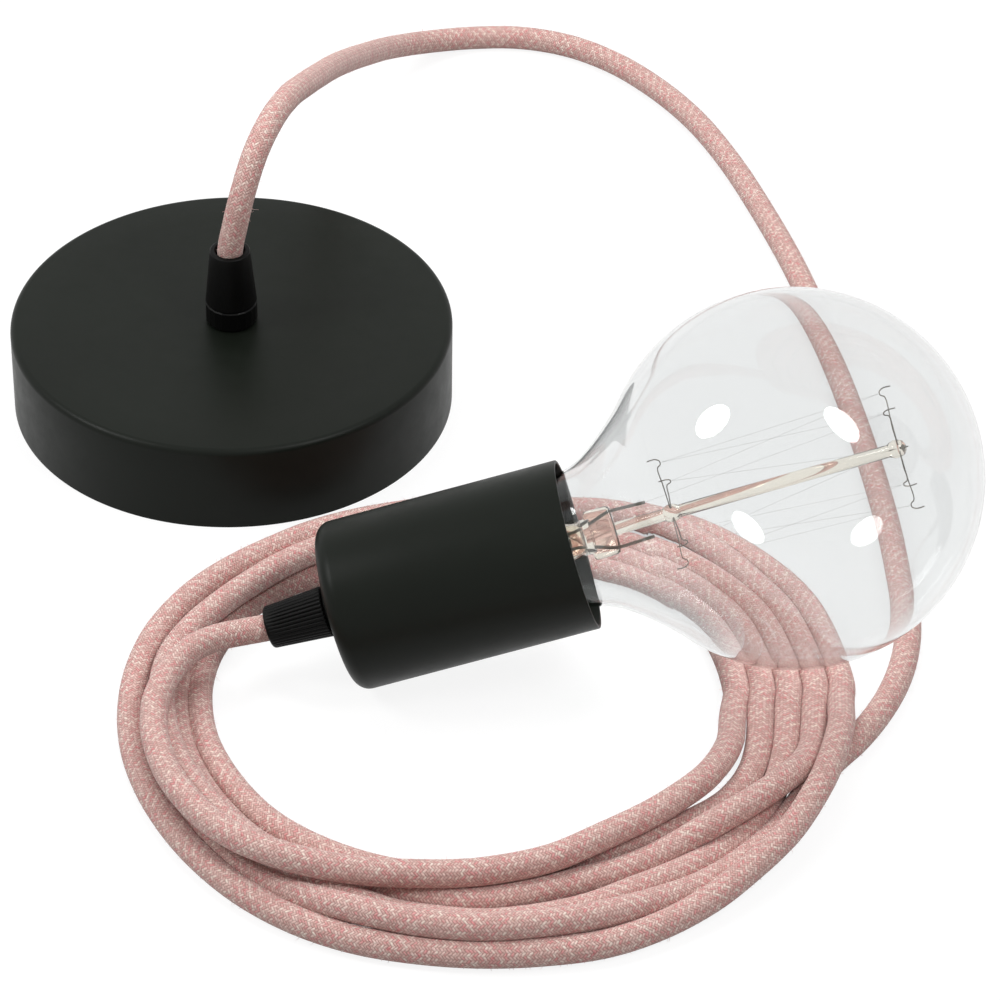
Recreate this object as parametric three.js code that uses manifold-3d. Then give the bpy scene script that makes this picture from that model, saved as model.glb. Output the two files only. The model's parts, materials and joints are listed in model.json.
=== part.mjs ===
// Pendant cord set: a steel ceiling rose, a textile-covered cord in a loose round coil, and a black metal
// lampholder with a clear globe bulb. It lies as it is laid out on a table.
// Units are millimetres, +Z is up, and the floor is z = 0. The origin is under the middle of the box round the
// rose, the lampholder and the bulb.

import * as THREE from 'three';
import { mergeVertices } from 'three/addons/utils/BufferGeometryUtils.js';
import Module from 'manifold-3d';

const wasm = await Module();
wasm.setup();

// Clearances
const SEAT_GAP = 0.3;
const CORD_PLAY = 0.35;
const THREAD_PLAY = 0.3;

// Cord: two cores in a round textile braid
const CORD_DIAMETER = 6.7;
const CORD_SIDES = 10;
const CORE_DIAMETER = 2.1;
const CORE_SPREAD = 1.25;

// Ceiling rose: a drawn steel cup, open below, standing on its rim
const ROSE_PLACE = new THREE.Vector3(-66.8, 47.2, 0);
const ROSE_DIAMETER = 120;
const ROSE_HEIGHT = 25;
const ROSE_WALL = 0.8;
const ROSE_EDGE_RADIUS = 1.8;

// Fixing bar inside the rose
const BAR_WIDTH = 20;
const BAR_THICKNESS = 1.5;
const BAR_FLAT_LENGTH = 64;
const BAR_FOOT_LENGTH = 22;
const BAR_FOOT_LIFT = 0.3;
const BAR_BEND_RADIUS = 2;
const SLOT_WIDTH = 5;
const SLOT_LENGTH = 14;

// Cord grips: a threaded base with a split collet, and a cap that closes on it
const THREAD_DIAMETER = 10;
const COLLET_LENGTH = 10.5;
const COLLET_TIP_DIAMETER = 8.5;
const COLLET_SLOT_WIDTH = 0.8;
const NUT_ACROSS_FLATS = 13;
const NUT_HEIGHT = 3;
const ROSE_GRIP = {
  flangeDiameter: 14,
  flangeHeight: 5.8,
  tailLength: 11,
  capBottomDiameter: 13.9,
  capTopDiameter: 10.9,
  capHeight: 16.2,
  capRim: 0.5,
  ribs: 0,
};
const HOLDER_GRIP = {
  flangeDiameter: 13,
  flangeHeight: 1.8,
  tailLength: 9.5,
  capBottomDiameter: 13.1,
  capTopDiameter: 10.9,
  capHeight: 15.6,
  capRim: 0.9,
  ribs: 36,
};
const RIB_DEPTH = 0.28;

// Terminal block under the fixing bar
const BLOCK_POLES = 2;
const POLE_PITCH = 12;
const BLOCK_WIDTH = 16;
const BLOCK_WEB = 4.5;
const BARREL_DIAMETER = 8.4;
const BLOCK_INSERT_DIAMETER = 4;
const BLOCK_INSERT_BORE = 2.6;
const BLOCK_INSERT_LENGTH = 12;
const BLOCK_SCREW_DIAMETER = 2.4;
const BLOCK_SCREW_SPACING = 7;
const BLOCK_TOWER_DIAMETER = 5;
const BLOCK_TOWER_DROP = 6;
const BLOCK_MIDDLE_X = 21;
const FIXING_SCREW_DIAMETER = 3;
const FIXING_HEAD_DIAMETER = 5.2;
const EARTH_SCREW_DIAMETER = 4;
const EARTH_SCREW_X = -20;

// Lampholder shell: a drawn metal cup that lies on the edge of its closed end
const SHELL_PLACE = new THREE.Vector2(-33.6, -69.9);
const SHELL_DIAMETER = 43.5;
const SHELL_LENGTH = 63;
const SHELL_WALL = 0.9;
const SHELL_EDGE_RADIUS = 4;
const SHELL_HEADING_DEG = 5.2;
const SHELL_TILT_DEG = 16.3;
const WORKS_LEAN_DEG = 1.25;
const LEAN_PLAY = 0.15;

// Socket inside the shell
const SHELL_TO_SOCKET = 1.85;
const SOCKET_DIAMETER = SHELL_DIAMETER - 2 * (SHELL_WALL + SHELL_TO_SOCKET);
const SCREW_SHELL_ROOM = 2.95;
const SPIGOT_WALL = 1.2;
const DOME_NECK_DIAMETER = 18;
const DOME_NECK_HEIGHT = 1.6;
const DOME_SHOULDER_HEIGHT = 6;
const DOME_HEIGHT = 19.5;
const DOME_TOP_THICKNESS = 4;
const CARRIER_THICKNESS = 8;
const CARRIER_POST_SPACING = 18;
const POST_DIAMETER = 3.6;
const POST_DROP = 4.5;
const POST_HEIGHT = 9.5;
const SKIRT_LENGTH = 29.7;
const SKIRT_LIP = 1.5;
const CONTACT_WIDTH = 5;
const CONTACT_THICKNESS = 0.5;
const SCREW_SHELL_LENGTH = 22.5;
const SCREW_SHELL_SHEET = 0.5;
const SCREW_SHELL_FLANGE_HOLE = 18.4;
const SCREW_SHELL_MOUTH_FLARE = 0.8;

// Crest diameter of the E27 thread, which the cap's plain wall has here
const EDISON_DIAMETER = 26.05;

// Bulb, measured along its axis from the tip contact
const BULB_TIP_REST = 27;
const BULB_TURN_DEG = 141;
const GLOBE_DIAMETER = 95;
const GLOBE_TO_TIP = 92;
const GLASS_WALL = 0.8;
const NECK_START = 24;
const NECK_START_DIAMETER = 25;
const NECK_MIDDLE = 41;
const NECK_MIDDLE_DIAMETER = 37.6;
const NECK_BLEND = 5;
const GLOBE_BLEND_DEG = 41;
const CAP_SHEET = 0.4;
const CAP_BOTTOM = 5.6;
const CAP_CHAMFER = 0.9;
const CAP_THREAD_END = 20.2;
const CAP_WAIST_DIAMETER = 24.6;
const CAP_LENGTH = 27;
const CAP_COLLAR_DIAMETER = 26.6;
const CAP_HOLE_DIAMETER = 20.4;
const TIP_DIAMETER = 8.8;
const TIP_THICKNESS = 0.7;
const TIP_STEM_DIAMETER = 4;

// Glass stem with its wires
const FLARE_TUBE_DIAMETER = 9;
const STEM_WALL = 0.7;
const PINCH_START = 39.5;
const PINCH_END = 46.5;
const PINCH_WIDTH = 12.5;
const PINCH_THICKNESS = 4.2;
const ROD_DIAMETER = 3.2;
const ROD_END = 121;
const LOWER_BEAD = 60.7;
const UPPER_BEAD = 118.6;
const BEAD_DIAMETER = 5.6;
const BEAD_LENGTH = 6;
const WIRE_DIAMETER = 0.6;
const LEAD_DIAMETER = 0.8;
const LEAD_END = 55;
const LEAD_SPREAD = 4.4;
const LEAD_ROOT_SPREAD = 2;
const LOWER_HOOKS = 4;
const UPPER_HOOKS = 5;
const LOWER_HOOK_REACH = 14.6;
const UPPER_HOOK_REACH = 16.4;
const HOOK_BEND = 2.2;
const FILAMENT_DIAMETER = 0.3;

// Coil of cord on the floor
const COIL_CENTRE = new THREE.Vector2(4.5, -91.2);
const COIL_INNER_RADIUS = 57;
const COIL_OUTER_RADIUS = 91;
const COIL_HEIGHT = 12.6;
const COIL_LOW_SHARE = 0.615;
const COIL_LOW_HEADING_DEG = 23;

// Route of the cord from inside the rose's grip to the coil, chosen by hand
const ARCH_ROUTE = [
  [-66.8, 47.2, 20], [-66.8, 47.2, 34], [-66.7, 47.2, 47.6], [-66, 47.6, 54.5],
  [-64.2, 50.5, 64], [-61, 57.5, 72], [-57.2, 68.5, 76], [-53.6, 82, 74.8], [-50.4, 98, 68.6],
  [-47, 118, 59.2], [-43.4, 140, 48], [-39.6, 163, 35.6], [-35.2, 185, 23.6], [-29, 205, 13.2],
  [-19, 219.5, 6], [-5, 226.8, 3.5], [10, 228.2, 3.35], [25, 224.4, 3.35], [39, 215.2, 3.35],
  [51.5, 201.6, 3.35], [63, 184, 3.35], [73, 161.5, 3.35], [81.6, 136, 3.35], [89.4, 109, 3.35],
  [95.6, 82, 3.35], [100.6, 56, 3.35], [104.6, 31, 3.35], [107.6, 8, 3.35], [109.6, -12, 3.35],
  [110.6, -30, 3.35], [111, -46, 3.35], [110.2, -60, 3.35], [107.6, -73, 3.35], [103.4, -84.8, 3.35],
  [98.9, -94.6, 3.35],
];
const TAIL_INSIDE = 2;
const TAIL_OUTSIDE = 3.4;

const degrees = THREE.MathUtils.degToRad;

// Materials
const paint = (name, color, roughness, metalness, extra = {}) =>
  new THREE.MeshStandardMaterial({ name, color, roughness, metalness, ...extra });
const SATIN_BLACK = paint('satin_black_paint', 0x22251f, 0.42, 0.3);
const BLACK_PLASTIC = paint('black_plastic', 0x0c0c0b, 0.45, 0);
const ZINC_STEEL = paint('zinc_plated_steel', 0xb9bcc0, 0.35, 1);
const BRASS = paint('brass', 0xb08d4a, 0.35, 1);
const NICKEL = paint('nickel_plated_cap', 0xc9cacb, 0.25, 1);
const PORCELAIN = paint('porcelain', 0xe9e6df, 0.3, 0);
const WHITE_PLASTIC = paint('white_plastic', 0xe4e3de, 0.5, 0);
const VITRITE = paint('black_glass', 0x141116, 0.2, 0);
const CLEAR_GLASS = paint('clear_glass', 0xf2f4f4, 0.03, 0, { transparent: true, opacity: 0.25 });
const STEM_GLASS = paint('stem_glass', 0xe9e2d2, 0.06, 0, { transparent: true, opacity: 0.5 });
const MOLYBDENUM = paint('support_wire', 0x6f6a62, 0.4, 1);
const TUNGSTEN = paint('filament', 0x4c4a48, 0.5, 1);
const TEXTILE = paint('pink_textile_braid', 0xcdaba3, 0.95, 0);
const CORE_BROWN = paint('brown_core', 0x5a3421, 0.5, 0);
const CORE_BLUE = paint('blue_core', 0x2c62a8, 0.5, 0);
const CORES = [CORE_BROWN, CORE_BLUE];

// Shape helpers

function solidOf(geometry) {
  const bare = geometry.index ? geometry.toNonIndexed() : geometry.clone();
  bare.deleteAttribute('normal');
  bare.deleteAttribute('uv');
  const merged = mergeVertices(bare, 1e-3);
  const vertProperties = merged.attributes.position.array;
  const triVerts = new Uint32Array(merged.index.array);
  return new wasm.Manifold(new wasm.Mesh({ numProp: 3, vertProperties, triVerts }));
}

function geometryOf(solid) {
  const made = solid.getMesh();
  const stride = made.numProp;
  const position = new Float32Array(made.numVert * 3);
  for (let i = 0; i < made.numVert; i++) {
    position.set(made.vertProperties.subarray(i * stride, i * stride + 3), i * 3);
  }
  const geometry = new THREE.BufferGeometry();
  geometry.setAttribute('position', new THREE.BufferAttribute(position, 3));
  geometry.setIndex(new THREE.BufferAttribute(made.triVerts, 1));
  geometry.computeVertexNormals();
  return geometry;
}

// One solid out of geometries to join and geometries to cut away.
function carve(joined, cuts = []) {
  let solid = solidOf(joined[0]);
  for (const other of joined.slice(1)) {
    solid = solid.add(solidOf(other));
  }
  for (const cut of cuts) {
    solid = solid.subtract(solidOf(cut));
  }
  return geometryOf(solid);
}

function piece(name, geometry, material) {
  const mesh = new THREE.Mesh(geometry, material);
  mesh.name = name;
  return mesh;
}

// Points [radius, height] turned round the Z axis. A profile that stays off the axis is closed here.
function revolve(profile, segments) {
  const points = profile.map(([radius, height]) => new THREE.Vector2(radius, height));
  const first = points[0];
  const last = points[points.length - 1];
  if (first.x > 0 || last.x > 0) {
    points.push(first.clone());
  }
  return new THREE.LatheGeometry(points, segments).rotateX(Math.PI / 2);
}

// A quarter turn from one direction to another, as [radius, height] points round a centre.
function arcPoints(centreRadius, centreHeight, radius, startDeg, endDeg, steps) {
  const points = [];
  for (let i = 0; i <= steps; i++) {
    const angle = degrees(startDeg + ((endDeg - startDeg) * i) / steps);
    points.push([centreRadius + radius * Math.cos(angle), centreHeight + radius * Math.sin(angle)]);
  }
  return points;
}

function rod(diameter, bottom, top, segments = 16) {
  const geometry = new THREE.CylinderGeometry(diameter / 2, diameter / 2, top - bottom, segments);
  return geometry.rotateX(Math.PI / 2).translate(0, 0, (bottom + top) / 2);
}

// A path whose steps follow its points, so that short bends get as many steps as long straights.
class PointPath extends THREE.CatmullRomCurve3 {
  getPointAt(u, target) {
    return this.getPoint(u, target);
  }

  getTangentAt(u, target) {
    return this.getTangent(u, target);
  }
}

function sectionOf(diameter, sides) {
  const corners = [];
  for (let i = 0; i < sides; i++) {
    const angle = (2 * Math.PI * (i + 0.5)) / sides;
    corners.push(new THREE.Vector2(Math.cos(angle), Math.sin(angle)).multiplyScalar(diameter / 2));
  }
  return new THREE.Shape(corners);
}

function tube(path, diameter, sides, steps) {
  return new THREE.ExtrudeGeometry(sectionOf(diameter, sides), { steps, extrudePath: path });
}

// A wire through hand-set points, with a fixed number of steps between one point and the next.
function wire(points, diameter, sides, stepsPerSpan) {
  const path = new PointPath(points, false, 'centripetal');
  return tube(path, diameter, sides, stepsPerSpan * (points.length - 1));
}

function hexagonNut(acrossFlats, hole, bottom, top) {
  const outline = new THREE.Shape();
  const reach = acrossFlats / Math.sqrt(3);
  for (let i = 0; i < 6; i++) {
    const angle = (i * Math.PI) / 3;
    outline[i ? 'lineTo' : 'moveTo'](reach * Math.cos(angle), reach * Math.sin(angle));
  }
  outline.closePath();
  outline.holes.push(new THREE.Path().absarc(0, 0, hole / 2, 0, 2 * Math.PI, true));
  const geometry = new THREE.ExtrudeGeometry(outline, { depth: top - bottom, bevelEnabled: false, curveSegments: 12 });
  return geometry.translate(0, 0, bottom);
}

function box(x0, x1, y0, y1, z0, z1) {
  const geometry = new THREE.BoxGeometry(x1 - x0, y1 - y0, z1 - z0);
  return geometry.translate((x0 + x1) / 2, (y0 + y1) / 2, (z0 + z1) / 2);
}

// Cord grips. Their own frame has z = 0 on the sheet that they clamp, and the cord leaves towards +z.

const BORE_RADIUS = CORD_DIAMETER / 2 + CORD_PLAY;
const THREAD_HOLE_RADIUS = THREAD_DIAMETER / 2 + THREAD_PLAY;

function gripBase(grip) {
  const flangeBottom = SEAT_GAP;
  const flangeTop = flangeBottom + grip.flangeHeight;
  const tip = flangeTop + COLLET_LENGTH;
  const thread = THREAD_DIAMETER / 2;
  const body = revolve(
    [
      [BORE_RADIUS, -grip.tailLength],
      [thread - 0.5, -grip.tailLength],
      [thread, 0.5 - grip.tailLength],
      [thread, flangeBottom],
      [grip.flangeDiameter / 2 - 0.3, flangeBottom],
      [grip.flangeDiameter / 2, flangeBottom + 0.3],
      [grip.flangeDiameter / 2, flangeTop - 0.3],
      [grip.flangeDiameter / 2 - 0.3, flangeTop],
      [thread, flangeTop],
      [COLLET_TIP_DIAMETER / 2, tip],
      [BORE_RADIUS, tip],
    ],
    20,
  );
  const half = grip.flangeDiameter;
  const slit = COLLET_SLOT_WIDTH / 2;
  const root = flangeTop + 2;
  const cuts = [box(-half, half, -slit, slit, root, tip + 1), box(-slit, slit, -half, half, root, tip + 1)];
  return carve([body], cuts);
}

function gripCap(grip) {
  const bottom = 2 * SEAT_GAP + grip.flangeHeight;
  const top = bottom + grip.capHeight;
  const colletTip = SEAT_GAP + grip.flangeHeight + COLLET_LENGTH;
  const outerBottom = grip.capBottomDiameter / 2;
  const outerTop = grip.capTopDiameter / 2;
  const outside = revolve(
    [
      [0, bottom],
      [outerBottom, bottom],
      [outerTop, top - grip.capRim],
      [outerTop - 0.3 * grip.capRim, top - 0.3 * grip.capRim],
      [outerTop - grip.capRim, top],
      [0, top],
    ],
    grip.ribs ? grip.ribs * 2 : 28,
  );
  if (grip.ribs) {
    flute(outside, grip.ribs, top - grip.capRim);
  }
  const inside = revolve(
    [
      [0, bottom - 1],
      [THREAD_DIAMETER / 2 + SEAT_GAP, bottom - 1],
      [THREAD_DIAMETER / 2 + SEAT_GAP, bottom],
      [COLLET_TIP_DIAMETER / 2 + SEAT_GAP, colletTip + SEAT_GAP],
      [BORE_RADIUS, colletTip + 1],
      [BORE_RADIUS, top - 1],
      [BORE_RADIUS + 0.4, top + 0.1],
      [0, top + 0.1],
    ],
    20,
  );
  return carve([outside], [inside]);
}

// Every second column of the wall goes in by one rib depth, up to the plain rim.
function flute(geometry, ribs, topHeight) {
  const position = geometry.attributes.position;
  for (let i = 0; i < position.count; i++) {
    const x = position.getX(i);
    const y = position.getY(i);
    const radius = Math.hypot(x, y);
    if (radius < RIB_DEPTH || position.getZ(i) > topHeight + RIB_DEPTH) {
      continue;
    }
    const column = Math.round((Math.atan2(y, x) * ribs * 2) / (2 * Math.PI));
    if (column % 2) {
      const scale = (radius - RIB_DEPTH) / radius;
      position.setX(i, x * scale);
      position.setY(i, y * scale);
    }
  }
}

// Ceiling rose

function roseCup() {
  const outer = ROSE_DIAMETER / 2;
  const inner = outer - ROSE_WALL;
  const edge = ROSE_EDGE_RADIUS;
  const profile = [
    [inner, 0],
    [outer, 0],
    ...arcPoints(outer - edge, ROSE_HEIGHT - edge, edge, 0, 90, 3),
    [THREAD_HOLE_RADIUS, ROSE_HEIGHT],
    [THREAD_HOLE_RADIUS, ROSE_HEIGHT - ROSE_WALL],
    ...arcPoints(outer - edge, ROSE_HEIGHT - edge, edge - ROSE_WALL, 90, 0, 2),
  ];
  return revolve(profile, 52);
}

const BAR_TOP = ROSE_HEIGHT - ROSE_WALL - SEAT_GAP;
const BAR_UNDERSIDE = BAR_TOP - BAR_THICKNESS;

// The bar is one bent strip: a flat under the rose's top, two legs, and two slotted feet at the rim.
function fixingBar() {
  const flat = BAR_FLAT_LENGTH / 2;
  const inner = flat - BAR_THICKNESS;
  const toe = flat + BAR_FOOT_LENGTH;
  const low = BAR_FOOT_LIFT;
  const footTop = low + BAR_THICKNESS;
  const bend = BAR_BEND_RADIUS;
  const right = [
    ...arcPoints(flat - bend, BAR_TOP - bend, bend, 90, 0, 3),
    [flat, footTop],
    [toe, footTop],
    [toe, low],
    ...arcPoints(inner + bend, low + bend, bend, 270, 180, 3),
    [inner, BAR_UNDERSIDE],
  ];
  const left = right.map(([x, z]) => [-x, z]).reverse();
  const outline = new THREE.Shape([...right, ...left].map(([x, z]) => new THREE.Vector2(x, z)));
  const strip = new THREE.ExtrudeGeometry(outline, { depth: BAR_WIDTH, bevelEnabled: false });
  strip.rotateX(Math.PI / 2).translate(0, BAR_WIDTH / 2, 0);
  const through = BAR_TOP + 1;
  const cuts = [rod(2 * THREAD_HOLE_RADIUS, BAR_UNDERSIDE - 1, through, 24)];
  for (const [diameter, x] of [[FIXING_SCREW_DIAMETER, BLOCK_MIDDLE_X], [EARTH_SCREW_DIAMETER, EARTH_SCREW_X]]) {
    cuts.push(rod(diameter + 2 * SEAT_GAP, BAR_UNDERSIDE - 1, through, 12).translate(x, 0, 0));
  }
  for (const side of [-1, 1]) {
    cuts.push(slotCutter().translate(side * (flat + BAR_FOOT_LENGTH / 2 + 1), 0, low - 1));
  }
  return carve([strip], cuts);
}

function slotCutter() {
  const reach = (SLOT_LENGTH - SLOT_WIDTH) / 2;
  const round = SLOT_WIDTH / 2;
  const outline = new THREE.Shape();
  outline.absarc(reach, 0, round, -Math.PI / 2, Math.PI / 2, false);
  outline.absarc(-reach, 0, round, Math.PI / 2, (3 * Math.PI) / 2, false);
  return new THREE.ExtrudeGeometry(outline, { depth: BAR_THICKNESS + 2, bevelEnabled: false, curveSegments: 5 });
}

const BLOCK_TOP = BAR_UNDERSIDE - SEAT_GAP;
const BARREL_AXIS = BLOCK_TOP - BARREL_DIAMETER / 2;
const TOWER_BOTTOM = BARREL_AXIS - BLOCK_TOWER_DROP;
const poleY = (pole) => (pole - (BLOCK_POLES - 1) / 2) * POLE_PITCH;

function alongX(geometry, x, y, z) {
  return geometry.rotateY(Math.PI / 2).translate(x, y, z);
}

// The fixing screw passes between the two barrels, and its head goes into a wider bore under the web.
function terminalBlock() {
  const half = BLOCK_WIDTH / 2;
  const length = POLE_PITCH + BARREL_DIAMETER;
  const web = BLOCK_TOP - BLOCK_WEB;
  const joined = [box(-half, half, -length / 2, length / 2, web, BLOCK_TOP)];
  const cuts = [
    rod(FIXING_SCREW_DIAMETER + 2 * SEAT_GAP, TOWER_BOTTOM, BLOCK_TOP + 1, 12),
    rod(FIXING_HEAD_DIAMETER + 2 * SEAT_GAP, TOWER_BOTTOM, web, 12),
  ];
  for (let pole = 0; pole < BLOCK_POLES; pole++) {
    joined.push(alongX(rod(BARREL_DIAMETER, -half, half, 10), 0, poleY(pole), BARREL_AXIS));
    const bore = BLOCK_INSERT_DIAMETER + 2 * SEAT_GAP;
    cuts.push(alongX(rod(bore, -half - 1, half + 1, 8), 0, poleY(pole), BARREL_AXIS));
    for (const side of [-1, 1]) {
      const x = (side * BLOCK_SCREW_SPACING) / 2;
      joined.push(rod(BLOCK_TOWER_DIAMETER, TOWER_BOTTOM, BARREL_AXIS, 8).translate(x, poleY(pole), 0));
      cuts.push(rod(BLOCK_SCREW_DIAMETER + 2 * SEAT_GAP, TOWER_BOTTOM - 1, BARREL_AXIS, 8).translate(x, poleY(pole), 0));
    }
  }
  return carve(joined, cuts);
}

function blockInsert(pole) {
  const half = BLOCK_INSERT_LENGTH / 2;
  const shell = rod(BLOCK_INSERT_DIAMETER, -half, half, 10);
  const bore = rod(BLOCK_INSERT_BORE, -half - 1, half + 1, 8);
  return alongX(carve([shell], [bore]), 0, poleY(pole), BARREL_AXIS);
}

function blockScrew(pole, side) {
  const top = BARREL_AXIS - BLOCK_INSERT_DIAMETER / 2 - SEAT_GAP;
  const head = TOWER_BOTTOM + 0.6;
  const body = rod(BLOCK_SCREW_DIAMETER, head, top, 8);
  const groove = box(-2, 2, -0.3, 0.3, head - 1, head + 0.7);
  return carve([body], [groove]).translate((side * BLOCK_SCREW_SPACING) / 2, poleY(pole), 0);
}

// A pan-head screw that comes up through the bar, with its head at the given height.
function panScrew(diameter, headDiameter, head) {
  const radius = diameter / 2;
  const headRadius = headDiameter / 2;
  const body = revolve(
    [
      [0, head - 1.8],
      [headRadius - 0.5, head - 1.6],
      [headRadius, head - 0.8],
      [headRadius, head],
      [radius, head],
      [radius, BAR_TOP - 0.2],
      [0, BAR_TOP - 0.2],
    ],
    12,
  );
  const groove = box(-headRadius - 1, headRadius + 1, -0.3, 0.3, head - 3, head - 1);
  return carve([body], [groove]);
}

// A core leaves the end of the cord inside the grip, drops clear of the tail and turns up into its pole.
function roseCore(pole) {
  const side = Math.sign(poleY(pole));
  const start = side * CORE_SPREAD;
  const end = poleY(pole);
  const endX = BLOCK_MIDDLE_X - BLOCK_INSERT_LENGTH / 2 - SEAT_GAP;
  const tailEnd = ROSE_HEIGHT - ROSE_GRIP.tailLength;
  const points = [
    new THREE.Vector3(0, start, ARCH_ROUTE[0][2] - SEAT_GAP),
    new THREE.Vector3(0, start, tailEnd),
    new THREE.Vector3(0.6, 1.2 * start, tailEnd - 3.4),
    new THREE.Vector3(3.6, 0.5 * end, tailEnd - 5.6),
    new THREE.Vector3(7.4, 0.8 * end, tailEnd - 3),
    new THREE.Vector3(endX - 3.6, end, BARREL_AXIS - 0.9),
    new THREE.Vector3(endX, end, BARREL_AXIS),
  ];
  return wire(points, CORE_DIAMETER, 6, 2);
}

function ceilingRose() {
  const rose = new THREE.Group();
  rose.position.copy(ROSE_PLACE);
  rose.add(piece('canopy', roseCup(), SATIN_BLACK));
  rose.add(piece('fixing_bar', fixingBar(), ZINC_STEEL));

  const grip = new THREE.Group();
  grip.position.z = ROSE_HEIGHT;
  grip.add(piece('rose_grip_base', gripBase(ROSE_GRIP), BLACK_PLASTIC));
  grip.add(piece('rose_grip_cone', gripCap(ROSE_GRIP), BLACK_PLASTIC));
  rose.add(grip);

  const nutTop = BAR_UNDERSIDE - SEAT_GAP;
  const nut = hexagonNut(NUT_ACROSS_FLATS, 2 * THREAD_HOLE_RADIUS, nutTop - NUT_HEIGHT, nutTop);
  rose.add(piece('rose_grip_nut', nut, ZINC_STEEL));

  const block = new THREE.Group();
  block.position.x = BLOCK_MIDDLE_X;
  block.add(piece('terminal_block', terminalBlock(), WHITE_PLASTIC));
  for (let pole = 0; pole < BLOCK_POLES; pole++) {
    block.add(piece(`terminal_insert_${pole + 1}`, blockInsert(pole), BRASS));
    block.add(piece(`terminal_screw_${pole + 1}a`, blockScrew(pole, -1), ZINC_STEEL));
    block.add(piece(`terminal_screw_${pole + 1}b`, blockScrew(pole, 1), ZINC_STEEL));
    rose.add(piece(`rose_core_${pole + 1}`, roseCore(pole), CORES[pole]));
  }
  rose.add(block);

  const webBottom = BLOCK_TOP - BLOCK_WEB - SEAT_GAP;
  const blockScrewBody = panScrew(FIXING_SCREW_DIAMETER, FIXING_HEAD_DIAMETER, webBottom);
  const earthScrewBody = panScrew(EARTH_SCREW_DIAMETER, 2 * EARTH_SCREW_DIAMETER, BLOCK_TOP);
  block.add(piece('terminal_fixing_screw', blockScrewBody, ZINC_STEEL));
  rose.add(piece('earth_screw', earthScrewBody.translate(EARTH_SCREW_X, 0, 0), BRASS));
  return rose;
}

// Lampholder. Its own frame has z = 0 on the outside of the shell's closed end, and the bulb towards +z.

function shellCup() {
  const outer = SHELL_DIAMETER / 2;
  const edge = SHELL_EDGE_RADIUS;
  const hole = THREAD_HOLE_RADIUS + LEAN_PLAY;
  return revolve(
    [
      [hole, 0],
      ...arcPoints(outer - edge, edge, edge, 270, 360, 4),
      [outer, SHELL_LENGTH - 0.3],
      [outer - 0.3, SHELL_LENGTH],
      [outer - SHELL_WALL + 0.2, SHELL_LENGTH],
      [outer - SHELL_WALL, SHELL_LENGTH - 0.3],
      ...arcPoints(outer - edge, edge, edge - SHELL_WALL, 360, 270, 2),
      [hole, SHELL_WALL],
    ],
    44,
  );
}

const HOLDER_NUT_BOTTOM = SHELL_WALL + SEAT_GAP + LEAN_PLAY;
const DOME_BOTTOM = HOLDER_NUT_BOTTOM + NUT_HEIGHT + SEAT_GAP;
const DOME_RIM = DOME_BOTTOM + DOME_HEIGHT;
const CARRIER_TOP = DOME_RIM - 1;
const CARRIER_BOTTOM = CARRIER_TOP - CARRIER_THICKNESS;
const SOCKET_INNER = EDISON_DIAMETER / 2 + SCREW_SHELL_ROOM;
const FLANGE_BOTTOM = CARRIER_TOP + SEAT_GAP;
const FLANGE_TOP = FLANGE_BOTTOM + SCREW_SHELL_SHEET;

function socketDome() {
  const outer = SOCKET_DIAMETER / 2;
  const shoulder = DOME_BOTTOM + DOME_NECK_HEIGHT;
  return revolve(
    [
      [THREAD_HOLE_RADIUS, DOME_BOTTOM],
      [DOME_NECK_DIAMETER / 2, DOME_BOTTOM],
      [DOME_NECK_DIAMETER / 2, shoulder],
      [outer - 1.5, shoulder + DOME_SHOULDER_HEIGHT],
      [outer, shoulder + DOME_SHOULDER_HEIGHT + 1.5],
      [outer, DOME_RIM],
      [SOCKET_INNER, DOME_RIM],
      [SOCKET_INNER, shoulder + DOME_SHOULDER_HEIGHT + 1],
      [DOME_NECK_DIAMETER / 2, DOME_BOTTOM + DOME_TOP_THICKNESS],
      [THREAD_HOLE_RADIUS, DOME_BOTTOM + DOME_TOP_THICKNESS],
    ],
    28,
  );
}

function contactCarrier() {
  const outer = SOCKET_INNER - SEAT_GAP;
  const disc = revolve(
    [
      [0, CARRIER_BOTTOM],
      [outer - 1, CARRIER_BOTTOM],
      [outer, CARRIER_BOTTOM + 1],
      [outer, CARRIER_TOP],
      [0, CARRIER_TOP],
    ],
    28,
  );
  const cuts = [];
  for (const side of [-1, 1]) {
    const hole = rod(POST_DIAMETER + 2 * SEAT_GAP, CARRIER_BOTTOM - 1, CARRIER_TOP + 1, 12);
    cuts.push(hole.translate(0, (side * CARRIER_POST_SPACING) / 2, 0));
  }
  return carve([disc], cuts);
}

function terminalPost() {
  const radius = POST_DIAMETER / 2;
  const bottom = CARRIER_BOTTOM - POST_DROP;
  return revolve(
    [
      [0, bottom],
      [radius, bottom],
      [radius, bottom + POST_HEIGHT],
      [0, bottom + POST_HEIGHT],
    ],
    12,
  );
}

// A sprung brass strip that lies on the carrier and rises to the bulb's tip.
function centreContact() {
  const low = CARRIER_TOP + SEAT_GAP;
  const high = BULB_TIP_REST - SEAT_GAP - CONTACT_THICKNESS;
  const line = [
    [-8, low],
    [-5, low],
    [-1.6, high],
    [1.6, high],
    [3.4, high - 1],
  ];
  const under = line.map(([x, z]) => new THREE.Vector2(x, z));
  const over = line.map(([x, z]) => new THREE.Vector2(x, z + CONTACT_THICKNESS)).reverse();
  const strip = new THREE.ExtrudeGeometry(new THREE.Shape([...under, ...over]), {
    depth: CONTACT_WIDTH,
    bevelEnabled: false,
  });
  return strip.rotateX(Math.PI / 2).translate(0, CONTACT_WIDTH / 2, 0);
}

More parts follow.
